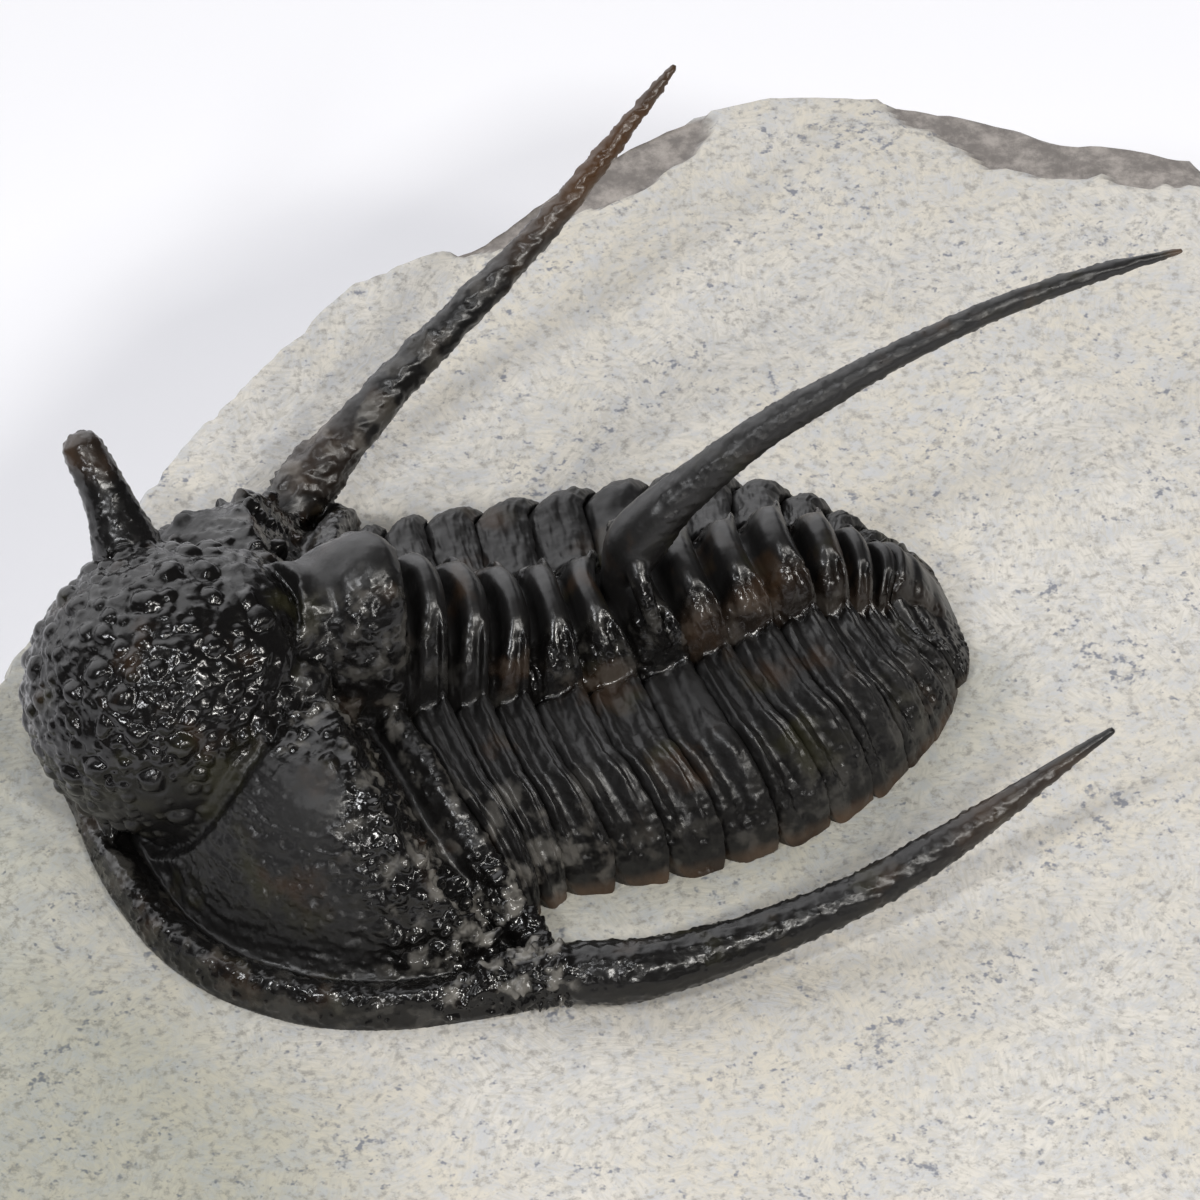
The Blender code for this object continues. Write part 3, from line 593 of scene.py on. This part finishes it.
def scattered(count, spacing, seed, accept):
    """Seeded random points of the unit cube, mapped and kept by accept, none nearer than the spacing."""
    picker = np.random.default_rng(seed)
    kept, filled = [], {}
    for draw in picker.random((count, 3)):
        spot = accept(draw)
        if spot is None:
            continue
        home = tuple(int(math.floor(value / spacing)) for value in spot)
        around = (tuple(home[axis] + step[axis] - 1 for axis in range(3)) for step in np.ndindex(3, 3, 3))
        if all(math.dist(spot, other) >= spacing for cell in around for other in filled.get(cell, ())):
            filled.setdefault(home, []).append(spot)
            kept.append(spot)
    return kept


def on_glabella(draw):
    """A point of the glabella's free upper surface from random numbers: few are low on its sides."""
    turn = draw[0] * 2.0 * math.pi
    height = draw[1] * 1.7 - 0.7
    across = math.sqrt(1.0 - height * height)
    way = np.array((math.cos(turn) * across, math.sin(turn) * across, height))
    if height < tubercle_limit(-way[0]) and draw[2] > 0.2:
        return None
    return tuple(np.array(GLABELLA_CENTRE) + way * np.array(GLABELLA_RADII))


def tubercle_rise(points):
    """Heights of the glabella's tubercles: large ones first, smaller ones in the room between them.

    Each is a flattened dome on the surface near its spot, with a shallow groove round it."""
    rise = np.zeros(len(points))
    warp = 1.0 + TUBERCLE_WARP * rough(points, 0.4, 2, 30)
    tree = kdtree.KDTree(len(points))
    for index, point in enumerate(points):
        tree.insert(point, index)
    tree.balance()
    taken = []
    for spacing, radius, height, count, seed in TUBERCLES:
        for number, spot in enumerate(scattered(count, spacing, seed, on_glabella)):
            if any(math.dist(spot, other) < reach + radius for other, reach in taken):
                continue
            size = radius * (0.7 + 0.6 * hashed(np.array([[number, seed, 5]]), 4)[0, 0])
            top = height * size / radius
            taken.append((spot, size))
            centre, _, gap = tree.find(spot)
            if gap > size * FARTHEST_SPOT:
                continue
            for _, index, away in tree.find_range(centre, size * TUBERCLE_REACH):
                part = away / size * warp[index]
                if part < 1.0:
                    rise[index] = max(rise[index], top * (1.0 - part ** 2.5) ** 0.8)
                elif part < 1.0 + GROOVE_WIDTH and rise[index] <= 0.0:
                    groove = GROOVE_DEPTH * top * math.sin(math.pi * (part - 1.0) / GROOVE_WIDTH)
                    rise[index] = min(rise[index], -groove)
    return rise


def bump(away, radius):
    """A smooth low rise from 1 at its middle to 0 at its rim."""
    return np.clip(1.0 - (away / radius) ** 2, 0.0, 1.0) ** 2


def head_relief(points):
    """Small relief of the head by region, and marks of how granular, thin and worn it is."""
    x, y, z = points.T
    across, near, far = np.abs(y), y < 0, y > 0
    from_edge, from_hind = edge_distances(points)
    # Regions: each is 1 in its middle and fades to 0 at its border
    inside = fall(x, 1.2, 1.6)
    face = (points - np.array(GLABELLA_CENTRE)) / np.array(GLABELLA_RADII)
    reach = np.linalg.norm(face, axis=1)
    back = np.linalg.norm((points - np.array(GLABELLA_BACK_CENTRE)) / np.array(GLABELLA_BACK_RADII), axis=1)
    dome = np.maximum(fall(np.abs(reach - 1.0), *DOME_SKIN), fall(np.abs(back - 1.0), *DOME_SKIN))
    upper = ramp(face[:, 2] - tubercle_limit(-face[:, 0]), -0.25, 0.1)
    creased = (1.0 - dome) * bump(np.minimum(reach, back) - 1.08, 0.10) * fall(z, 4.6, 5.2) * (z > 0.7)
    eye_x, eye_y = pushed(0, EYE_SPOT[0], EYE_SPOT[1], np.sign(y))
    from_eye = np.sqrt((x - eye_x) ** 2 + (y - eye_y) ** 2 + (z - EYE_SPOT[2]) ** 2)
    corner = inside * ramp(-y, 5.6, 6.6) * fall(from_hind, 1.6, 2.6) * ramp(z, 0.1, 0.3)
    border = inside * fall(from_edge, 0.9, 1.1) * fall(z, 1.2, 1.6)
    hind = inside * fall(from_hind, 0.7, 0.9) * ramp(across, 2.0, 2.4)
    ring = ramp(x, -3.4, -2.8) * fall(across, 2.0, 2.6) * (1.0 - dome) * inside
    flank = ring * ramp(across + 0.25 * rough(points, 0.7, 2, 46), 0.1, 1.4)
    left = ramp(x, -0.6, 0.3) * ramp(-y, 8.2, 8.4)
    right = ramp(x, -1.4, -0.6) * ramp(y, 7.1, 7.4) * ramp(z, 1.0, 1.3)
    right_root = ramp(x, -1.9, -1.3) * ramp(y, 6.9, 7.3) * ramp(z, 0.8, 1.1)
    away_right = ramp(x, 1.0, 2.5)
    horn = fall(x, -5.3, -5.0) * ramp(y, 2.0, 2.6) * ramp(z, 5.6, 6.0)
    cheek = (1.0 - dome) * ramp(from_edge, 1.0, 1.3) * ramp(across, 2.2, 2.8)
    cheek *= inside
    cheek *= ramp(from_hind, 0.9, 1.3)
    cheek *= (1.0 - horn) * (1.0 - right)
    high = np.maximum(fall(from_hind, 3.0, 4.2), ramp(from_edge, 3.4, 3.9))
    rough_cheek = cheek * np.where(far, 1.0, high) * ramp(from_eye, 0.7, 1.1)
    rough_cheek *= 1.0 - right_root
    plain_cheek = cheek - rough_cheek
    # Small forms
    small = granules(points, 0.17, 0.75, 31)
    middle = granules(points, 0.30, 0.6, 32)
    large = granules(points, 0.55, 0.55, 33)
    first, second, _ = cells(points, 0.36, 34)
    net = fall(second - first, 0.0, 0.10)
    fibres = rough(points * np.array((0.22, 1.0, 1.0)), 0.16, 2, 35)
    turn = np.arctan2(y, x - HEAD_SPINE_X)
    lines = waves(np.column_stack([from_edge / 0.09, turn * 4.0, np.zeros(len(x))]), 1.0, 36)
    pits = granules(points, 0.22, 0.5, 37)
    streaks = rough(np.column_stack([from_edge / 0.10, turn * 9.0, z * 0.0]), 1.0, 2, 38)
    lumps = rough(points, 0.55, 2, 40)

    forms = (small, middle, large, lumps, fibres)

    def grained(region):
        return sum(height * form for height, form in zip(HEAD_GRAINS[region], forms))

    eye = bump(from_eye, EYE_REACH)
    rise = dome * upper * (0.02 * net + 0.04 * middle + 0.09 * lumps)
    rise += dome * (1.0 - upper) * 0.03 * lumps
    rise -= 0.22 * creased
    rise += rough_cheek * (1.0 - 0.4 * far) * grained("cheek")
    rise += cheek * far * 0.20 * large
    plain = 0.028 * small - 0.035 * pits + 0.08 * streaks + 0.06 * lumps
    rise += plain_cheek * plain * (1.0 - bump(from_eye, 1.0))
    rise += plain_cheek * fall(from_edge, 1.9, 2.7) * 0.025 * lines
    rise += EYE_RISE * eye + 0.006 * eye * np.cos(from_eye * 22.0)
    rise += corner * grained("corner")
    rise += border * grained("border") + hind * grained("hind")
    rise += ring * 0.05 * lumps + flank * grained("flank")
    rise += left * grained("left spine")
    rise += right * (0.015 * small * away_right + 0.05 * fibres + 0.09 * lumps)
    rise += horn * grained("horn")
    rise += inside * 0.03 * rough(points, 1.3, 2, 39)
    rise += (1.0 - dome) * 0.012 * small
    grain = 0.85 * dome * upper + rough_cheek + corner + 0.8 * border + 0.75 * flank - 0.3 * (ring - flank)
    grain += (0.5 * left * fall(x, 5.0, 9.0) + 0.5 * horn - plain_cheek * (0.15 + 0.75 * bump(from_eye, 1.6))
              + 0.4 * hind)
    grain += right * (0.2 - 0.6 * (1.0 - away_right))
    amber = ramp(z, 4.9, 6.4) * (1.0 - 0.6 * ramp(z, 7.1, 7.6))
    thin = (ramp(z, 4.2, 6.6) + amber + 0.3 * fall(x, 0.2, 1.6)) * right
    thin += 0.35 * ramp(x, 9.0, 15.0) * left + 0.3 * ramp(z, 7.2, 7.7) * horn
    worn = 0.55 * rough_cheek * near + corner + 0.4 * hind * near + 0.3 * flank * near + 0.18 * border
    worn += right * (0.6 - 0.4 * away_right)
    return rise, {"grain": np.clip(grain, -1.0, 1.0), "thin": thin, "worn": np.clip(worn, 0.0, 1.0)}


def head(material):
    """The head shield with the glabella, basal lobes, horn and genal spines, in one skin."""
    forms = [head_shield(), ovoid(GLABELLA_CENTRE, GLABELLA_RADII),
             ovoid(GLABELLA_BACK_CENTRE, GLABELLA_BACK_RADII)]
    for side in (-1, 1):
        lobe = (BASAL_LOBE_CENTRE[0], BASAL_LOBE_CENTRE[1] * side, BASAL_LOBE_CENTRE[2])
        forms.append(ovoid(lobe, BASAL_LOBE_RADII, 36, 54))
    forms += [tube(LEFT_SPINE, SPINE_STEPS), tube(RIGHT_SPINE, SPINE_STEPS), tube(HORN, SPINE_STEPS // 2)]
    mesh = fused("cephalon_form", forms, HEAD_VOXEL, 4)
    flat_base(mesh)
    points = coordinates(mesh)
    tubercles = tubercle_rise(points)
    rise, marks = head_relief(points)
    above = ramp(points[:, 2], BASE_Z + 0.05, BASE_Z + 0.25)
    share = np.where(tubercles > LEAST_TUBERCLE, RELIEF_ON_TUBERCLES, 1.0)
    displace(mesh, points, (tubercles + rise * share) * above)
    give(mesh, **marks)
    mesh = modified("cephalon_skin", mesh, ("DECIMATE", {"ratio": HEAD_SHARE}))
    return finished("cephalon_skin", mesh, material, ["cephalon"])


def ring_share(station):
    """How much of a section at each station follows the ring's top, the ring's flank and the pleura."""
    pleura = ramp(station, 0.92, 1.18)
    flank = ramp(station, 0.45, 0.8) * (1.0 - pleura)
    return 1.0 - flank - pleura, flank, pleura


def plate_form(x, y, z):
    """A closed form under a grid of surface points, with a flat underside at the base."""
    top = np.stack([x, y, z], -1)
    first, last = top[:, :1].copy(), top[:, -1:].copy()
    first[:, :, 2] = BASE_Z
    last[:, :, 2] = BASE_Z
    points = np.concatenate([first, top, last], 1)
    return points.reshape(-1, 3), closed_faces(*points.shape[:2], inward=True)


def plate(name, mesh, points, number, material):
    """The piece of a plate, with small relief on its mesh, whose points are given."""
    rise, marks = plate_relief(points, number)
    displace(mesh, points, rise)
    give(mesh, **marks)
    return finished(name + "_skin", mesh, material, [name])


def segment(number, material):
    """One thoracic segment as a fine grid from its left tip to its right tip."""
    front, back = number - 1, number
    sections = (RING_SECTION, FLANK_SECTION, PLEURA_SECTION, FAR_PLEURA_SECTION)
    parts = [spline(form, SECTION_STEPS) for form in sections]
    spread = np.linspace(-1.0, 1.0, STATION_STEPS)
    signed = 3.0 * (1.25 * spread - 0.25 * spread ** 3)
    station = np.abs(signed)
    x0, y0 = boundary(front, signed)
    x1, y1 = boundary(back, signed)
    height = crest_height(RING_Z[front], FURROW_Z[front], FULCRUM_Z[front], signed)
    ring, flank, pleura = ring_share(station)
    shares = (ring, flank, pleura * (signed <= 0), pleura * (signed > 0))
    pitch = min(1.0, (CENTRE_X[back] - CENTRE_X[front]) / PROFILE_PITCH)
    relief = pitch * np.interp(station, *PLEURA_RELIEF)
    rounding = np.maximum(0.0, station - TIP_ROUNDING_START) / (3.0 - TIP_ROUNDING_START)
    least = TIP_WIDTHS[front]
    width = least + (1.0 - least) * np.sqrt(1.0 - rounding ** 2)
    outward = np.sign(signed) * TIP_OVERHANG * np.interp(station, (TIP_OVERHANG_START, 3.0), (0.0, 1.0))
    middle, half = (x0 + x1) / 2, (x1 - x0) / 2 * width
    along, drop = (sum(share[:, None] * part[None, :, column] for share, part in zip(shares, parts))
                   for column in (0, 1))
    x = middle[:, None] + half[:, None] * (2.0 * along - 1.0)
    y = y0[:, None] + (y1 - y0)[:, None] * along + outward[:, None]
    strokes = np.column_stack([along.ravel() * 8.0, np.repeat(signed * 3.0, SECTION_STEPS),
                               np.full(along.size, number * 3.3)])
    wrinkles = (waves(strokes, 1.0, 71) + 0.6 * waves(strokes * 2.1, 1.0, 72)).reshape(along.shape)
    edge = np.sqrt(np.clip(1.0 - ramp(station, *TIP_EDGE) ** 2, 0.0, 1.0))
    z = height[:, None] + drop * relief[:, None] + WRINKLE * wrinkles * pleura[:, None]
    z = z * edge[:, None] + BASE_Z * (1.0 - edge[:, None])
    points, faces = plate_form(x, y, z)
    name = f"thorax_segment_{number:02d}"
    if number == SPINE_SEGMENT:
        forms = [(points, faces), tube(AXIAL_SPINE, SPINE_STEPS), tube(SPINE_RIDGE, RIDGE_STEPS),
                 tube([(a, -b, c, d) for a, b, c, d in SPINE_RIDGE], RIDGE_STEPS)]
        mesh = fused(name + "_skin", forms, RING_SPINE_VOXEL, 3)
        flat_base(mesh)
        points = coordinates(mesh)
    else:
        mesh = make_mesh(name + "_skin", points, faces)
    return plate(name, mesh, points, number, material)


def plate_relief(points, number):
    """Small relief of a thoracic or tail plate, and marks of how granular, thin and worn it is."""
    x, y, z = points.T
    across, near = np.abs(y), y < 0
    axis, fulcrum = FURROW_Y[number - 1], FULCRUM_Y[number - 1]
    spine = ramp(x, 6.0, 6.6) * ramp(z, 4.9, 5.4) * (number == SPINE_SEGMENT)
    flank = ramp(across, 0.35 * axis, 0.7 * axis) * fall(across, 0.98 * axis, 1.15 * axis) * (1.0 - spine)
    pleura = ramp(across, 1.05 * axis, 1.25 * axis) * (1.0 - spine)
    outer = pleura * fall(z, 1.0, 2.2)
    satin = pleura * (1.0 - ramp(across, 0.75 * fulcrum, 1.15 * fulcrum) * near) * (number < TAIL_NUMBER)
    small = granules(points, 0.16, 0.6, 41)
    middle = granules(points, 0.30, 0.4, 42)
    fibres = rough(points * np.array((0.25, 1.0, 1.0)), 0.18, 2, 43)
    strength = FLANK_GRAINS[number - 1]
    rise = flank * strength * (0.05 * small + 0.05 * middle)
    rise += pleura * 0.012 * small + outer * (0.02 * small + 0.03 * middle)
    rise += spine * (0.03 * small + 0.015 * middle + 0.02 * fibres)
    rise += satin * 0.05 * rough(points * np.array((1.0, 0.45, 1.0)), 0.32, 2, 45)
    rise += (0.02 + 0.03 * pleura) * rough(points, 0.45, 2, 44)
    rise *= ramp(z, BASE_Z + 0.02, BASE_Z + 0.2)
    grain = (flank * strength + 0.3 * outer * near - 0.2 * spine + 0.5 * spine * fall(z, 6.0, 7.0)
             - 0.7 * satin)
    thin = 0.75 * fall(z, 0.1, 0.45) * ramp(across, 1.0, 2.0) + 0.9 * spine * ramp(x, 18.9, 19.5)
    if number > SPINE_SEGMENT:
        furrow = ramp(across, 0.55 * axis, 0.75 * axis) * fall(across, 0.95 * axis, 1.05 * axis)
        thin += 0.2 * furrow * (z > 1.0)
    worn = 0.4 * pleura * fall(x, 2.0, 4.0) * ramp(-y, 3.6, 5.0) + 0.2 * flank * strength + 0.2 * outer * near
    return rise, {"grain": np.clip(grain, -1.0, 1.0), "thin": thin, "worn": np.clip(worn, 0.0, 1.0)}


def tail(material):
    """The tail shield with its axis and ribs."""
    signed = np.linspace(-3.0, 3.0, STATION_STEPS)
    station = np.abs(signed)
    x0, y0 = boundary(TAIL_NUMBER - 1, signed)
    x1 = TAIL_END_X - TAIL_END_CURVE * (station / 3.0) ** 4
    y1 = y0 * TAIL_END_WIDTH
    height = crest_height(*TAIL_CRESTS, signed)
    relief = np.interp(station, (2.0, 3.0), (1.0, TIP_RELIEF))
    along = np.linspace(0.0, 1.0, TAIL_STEPS)
    drop = smooth(TAIL_RIBS, along)
    z = height[:, None] + (TIP_Z - height[:, None]) * along ** TAIL_FALL + drop * relief[:, None]
    x = x0[:, None] + (x1 - x0)[:, None] * along
    y = y0[:, None] + (y1 - y0)[:, None] * along
    points, faces = plate_form(x, y, z)
    return plate("pygidium", make_mesh("pygidium_skin", points, faces), points, TAIL_NUMBER, material)


def rock_reach(angles):
    """Distance from the rock's centre to its outline in the direction of each angle."""
    corners = np.array(ROCK_OUTLINE) - np.array(ROCK_CENTRE)
    reach = np.zeros(len(angles))
    ways = np.stack([np.cos(angles), np.sin(angles)], 1)
    for first, second in zip(corners, np.roll(corners, -1, axis=0)):
        run = second - first
        turned = ways[:, 0] * run[1] - ways[:, 1] * run[0]
        turned = np.where(np.abs(turned) < 1e-9, 1e-9, turned)
        out = (first[0] * run[1] - first[1] * run[0]) / turned
        along = (first[0] * ways[:, 1] - first[1] * ways[:, 0]) / turned
        hit = (out > 0.0) & (along >= -1e-6) & (along <= 1.0 + 1e-6)
        reach = np.where(hit, np.maximum(reach, out), reach)
    return reach


def rock_top(x, y):
    """Height of the prepared face: level under the body and gently swelling away from it."""
    away = np.hypot((x - SEAT_CENTRE[0]) / SEAT_RADII[0], (y - SEAT_CENTRE[1]) / SEAT_RADII[1])
    free = np.clip((away - 1.0) * SEAT_BLEND, 0.0, 1.0)
    swell = waves(np.column_stack([x, y, np.zeros(len(x))]), 1.0 / TOP_WAVES, 3)
    return TOP_SWELL * free * (swell - EDGE_DROP * np.maximum(0.0, away - EDGE_DROP_START))


def rock(material):
    """The rock: a finely worked top face, a chipped edge, broken sides and a flat sawn base."""
    angles = np.arange(ROCK_RAYS) / ROCK_RAYS * 2.0 * math.pi
    ways = np.stack([np.cos(angles), np.sin(angles)], 1)
    edge_spots = np.column_stack([ways * 20.0, np.zeros(ROCK_RAYS)])
    chips = np.maximum(0.0, rough(edge_spots, 2.2, 3, 50)) * 0.55
    reach = rock_reach(angles) - 0.05 - chips
    rows = []
    for part in np.linspace(0.02, 0.985, ROCK_RINGS) ** 0.9:
        plan = np.array(ROCK_CENTRE) + ways * reach[:, None] * part
        rows.append(np.column_stack([plan, rock_top(*plan.T)]))
    for part, depth in spline(ROCK_SIDE, ROCK_SIDE_STEPS):
        place = np.column_stack([ways * SIDE_WAVES[0], np.full(ROCK_RAYS, depth * SIDE_WAVES[1])])
        out = reach * part * (1.0 - SIDE_BREAK * np.abs(waves(place, 1.0, 51)) * ramp(-depth, 0.4, 2.0))
        plan = np.array(ROCK_CENTRE) + ways * out[:, None]
        rows.append(np.column_stack([plan, np.full(ROCK_RAYS, depth)]))
    points = np.vstack(rows)
    mesh = make_mesh("matrix_stone", points, closed_faces(len(rows), ROCK_RAYS, inward=True))
    base = ramp(points[:, 2], -13.9, -13.0)
    side_part = ramp(-points[:, 2], 0.3, 1.2)
    rise = 0.05 * rough(points, 1.6, 3, 60) + 0.03 * rough(points, 0.45, 2, 64)
    rise += side_part * 0.30 * (rough(points, 1.8, 3, 66) - 0.3)
    crust = np.zeros(len(points))
    for patch in CRUSTS:
        near = distance_to(np.array(patch, float), points[:, :2]) + 0.5 * rough(points, 1.1, 3, 67)
        crust = np.maximum(crust, fall(near, CRUST_WIDTH, CRUST_WIDTH + CRUST_EDGE))
    rise -= CRUST_DEPTH * crust * (1.0 - side_part)
    # Painted shade: the stone darkens towards its lower left as seen from the camera
    shade = fall(points[:, :2] @ np.array(SHADE_WAY) + 3.0 * rough(points, 6.0, 2, 68), *SHADE_EDGE)
    tips = np.column_stack([TIP_X, -np.array(TIP_Y)])
    # Painted shadow: darker stone next to the plates' left tips
    shade = np.maximum(shade, TIP_SHADOW * fall(distance_to(tips, points[:, :2]), *TIP_SHADOW_REACH))
    displace(mesh, points, rise * base)
    give(mesh, crust=np.maximum(crust * (1.0 - 0.55 * side_part), 0.5 * side_part), shade=shade)
    return finished("matrix_stone", mesh, material, ["matrix"])


class Graph:
    """The nodes of a material or of the world, with short calls for the kinds used here."""

    def __init__(self, tree, place="Object"):
        self.nodes, self.links = tree.nodes, tree.links
        self.place = self.nodes.new("ShaderNodeTexCoord").outputs[place]

    def feed(self, node, sockets):
        """Set each socket to a constant, or link it where the value is another node's socket."""
        for socket, value in sockets.items():
            if isinstance(value, bpy.types.NodeSocket):
                self.links.new(value, node.inputs[socket])
            else:
                node.inputs[socket].default_value = value

    def add(self, kind, sockets, operation=None):
        """A new node with its sockets fed."""
        node = self.nodes.new(kind)
        if operation:
            node.operation = operation
        self.feed(node, sockets)
        return node

    def mark(self, name):
        """A number that the mesh's vertices were given."""
        node = self.nodes.new("ShaderNodeAttribute")
        node.attribute_name = name
        return node.outputs["Fac"]

    def noise(self, scale, detail, roughness=0.5, vector=None, output="Fac"):
        sockets = {"Scale": scale, "Detail": detail, "Roughness": roughness, "Vector": vector or self.place}
        return self.add("ShaderNodeTexNoise", sockets).outputs[output]

    def step(self, source, low, high):
        """A number socket run smoothly from 0 to 1 between two thresholds."""
        node = self.add("ShaderNodeMapRange", {"From Min": low, "From Max": high, "Value": source})
        node.interpolation_type = "SMOOTHSTEP"
        return node.outputs["Result"]

    def maths(self, operation, *values):
        return self.add("ShaderNodeMath", dict(enumerate(values)), operation).outputs["Value"]

    def vectors(self, operation, *values):
        return self.add("ShaderNodeVectorMath", dict(enumerate(values)), operation).outputs["Vector"]

    def mix(self, factor, first, second):
        """Colour between two colours or colour sockets by a factor socket."""
        node = self.nodes.new("ShaderNodeMix")
        node.data_type = "RGBA"
        ends = [(*end, 1.0) if isinstance(end, tuple) else end for end in (first, second)]
        self.feed(node, {"Factor": factor, "A": ends[0], "B": ends[1]})
        return node.outputs["Result"]

    def bump(self, strength, distance, height, under=None):
        """Normals that a height gives, on top of other normals."""
        sockets = {"Strength": strength, "Distance": distance, "Height": height}
        if under is not None:
            sockets["Normal"] = under
        return self.add("ShaderNodeBump", sockets).outputs["Normal"]


def new_material(name):
    """A material and its shader."""
    made = bpy.data.materials.new(name)
    made.use_nodes = True
    return made, made.node_tree.nodes["Principled BSDF"]


def shell_material():
    """Glossy black calcite with brown and olive patches, browner where it is thin and pale where worn."""
    made, shader = new_material("black calcite shell")
    graph = Graph(made.node_tree)
    thin, grain = graph.mark("thin"), graph.mark("grain")
    patches = graph.noise(700.0, 4.0)
    warm = graph.mix(graph.step(graph.noise(420.0, 2.0), 0.45, 0.6), SHELL["brown"], SHELL["olive"])
    black = graph.mix(graph.step(grain, -0.5, 0.7), SHELL["matt"], SHELL["glossy"])
    body = graph.mix(graph.step(patches, 0.54, 0.72), black, warm)
    rim = graph.mix(graph.step(patches, 0.35, 0.65), SHELL["rim"], SHELL["pale rim"])
    scuffs = graph.maths("MULTIPLY", graph.step(graph.noise(1400.0, 3.0), 0.50, 0.63), graph.mark("worn"))
    scuffed = graph.mix(scuffs, body, SHELL["scuff"])
    amber = graph.mix(graph.step(thin, 1.0, 2.0), rim, SHELL["amber"])
    lumps = graph.add("ShaderNodeMath", {0: graph.noise(2100.0, 1.6), 1: grain}, "MULTIPLY")
    lumps.use_clamp = True
    fine = graph.bump(0.6, 0.00001, graph.noise(9000.0, 3.0))
    graph.feed(shader, {"Base Color": graph.mix(thin, scuffed, amber),
                        "Roughness": graph.maths("MULTIPLY_ADD", grain, -0.18, 0.36),
                        "Normal": graph.bump(1.0, 0.00005, lumps.outputs["Value"], fine)})
    shader.inputs["IOR"].default_value = 1.48
    return made


def stone_material():
    """Pale limestone with short tool strokes, fine grains and dark specks, a dark weathered crust, and
    painted shade where the mesh's shade mark says.
    """
    made, shader = new_material("pale limestone")
    graph = Graph(made.node_tree)
    # Strokes: noise drawn out along a way that changes from cell to cell
    drift = graph.noise(600.0, 1.0, output="Color")
    warped = graph.vectors("MULTIPLY_ADD", drift, (0.0014, 0.0014, 0.0014), graph.place)
    cell = graph.add("ShaderNodeTexVoronoi", {"Scale": 900.0, "Vector": warped})
    drawn = graph.add("ShaderNodeSeparateColor", {"Color": cell.outputs["Color"]})
    angle = graph.maths("MULTIPLY", drawn.outputs["Red"], 6.283)
    turned = graph.add("ShaderNodeVectorRotate",
                       {"Axis": (0.0, 0.0, 1.0), "Vector": graph.place, "Angle": angle})
    stretched = graph.vectors("MULTIPLY", turned.outputs["Vector"], (1.0, 4.5, 1.0))
    scratch = graph.noise(2300.0, 2.0, 0.55, stretched)
    grains = graph.noise(4200.0, 4.0, 0.65)
    warm = graph.mix(graph.step(graph.noise(180.0, 4.0), 0.35, 0.65), STONE["ochre"], STONE["cream"])
    pale = graph.mix(graph.step(graph.noise(1700.0, 5.0, 0.75), 0.36, 0.60), STONE["grey"], warm)
    toned = graph.mix(graph.step(scratch, 0.25, 0.60), STONE["stroke"], pale)
    grained = graph.mix(graph.step(grains, 0.28, 0.52), STONE["grain"], toned)
    crowds = graph.maths("MULTIPLY_ADD", graph.noise(420.0, 3.0), 0.5, graph.noise(3600.0, 2.0, 0.7))
    speckled = graph.mix(graph.step(crowds, 0.86, 1.02), grained, STONE["speck"])
    # Painted shade: the colour darkens by the shade mark, towards the lower left and along the plates' left
    # tips
    local = graph.mix(graph.mark("shade"), speckled, graph.vectors("MULTIPLY", speckled, STONE["shade"]))
    veins = graph.step(graph.noise(1500.0, 7.0, 0.7), 0.36, 0.70)
    dark = graph.mix(veins, STONE["crust"], STONE["pale crust"])
    strokes = graph.bump(0.4, 0.00005, scratch)
    graph.feed(shader, {"Base Color": graph.mix(graph.mark("crust"), local, dark),
                        "Normal": graph.bump(0.4, 0.00003, grains, strokes)})
    shader.inputs["Roughness"].default_value = 0.9
    shader.inputs["Specular IOR Level"].default_value = 0.25
    return made


def floor():
    corners = np.array(((-1, -1, 0), (1, -1, 0), (1, 1, 0), (-1, 1, 0))) * FLOOR_SIZE / 2
    mesh = make_mesh("floor", corners, [(0, 1, 2, 3)])
    made, shader = new_material("pale floor")
    shader.inputs["Base Color"].default_value = (*FLOOR_COLOUR, 1.0)
    shader.inputs["Roughness"].default_value = 0.7
    mesh.materials.append(made)
    placed("floor", mesh)


def light():
    """Bright surroundings behind and above the piece, darkness before it, and small lamps by the camera.

    The lamps are square and face the middle of the photograph's frame."""
    world = bpy.data.worlds.new("studio")
    bpy.context.scene.world = world
    world.use_nodes = True
    graph = Graph(world.node_tree, "Generated")
    facing = graph.add("ShaderNodeVectorMath", {0: graph.place, 1: BRIGHT_SIDE}, "DOT_PRODUCT")
    dome = graph.mix(graph.step(facing.outputs["Value"], *BRIGHT_EDGE), DARK, BRIGHT)
    seen = graph.nodes.new("ShaderNodeLightPath")
    graph.feed(graph.nodes["Background"], {"Color": graph.mix(seen.outputs["Is Camera Ray"], dome, BACKDROP),
                                           "Strength": WORLD_STRENGTH})
    for name, place, size, power, tint in LAMPS:
        lamp = bpy.data.lights.new(name, "AREA")
        lamp.size = size * MM
        lamp.energy = power
        lamp.color = tint
        holder = placed(name, lamp)
        holder.location = (np.array(TARGET) + BODY) * MM + np.array(place) * MM
        holder.rotation_euler = Vector(place).to_track_quat("Z", "Y").to_euler()


def camera():
    made = bpy.data.cameras.new("camera")
    made.sensor_width = SENSOR
    made.lens = LENS
    made.clip_start = 0.001
    holder = placed("camera", made)
    back = Vector(BACK).normalized()
    holder.location = Vector((np.array(TARGET) + BODY) * MM) + back * CAMERA_DISTANCE * MM
    holder.rotation_euler = back.to_track_quat("Z", "Y").to_euler()
    bpy.context.scene.camera = holder


def main():
    bpy.context.scene.view_settings.view_transform = "Standard"
    camera()
    light()
    floor()
    shell = shell_material()
    rock(stone_material())
    head(shell)
    for number in range(1, TAIL_NUMBER):
        segment(number, shell)
    tail(shell)


main()
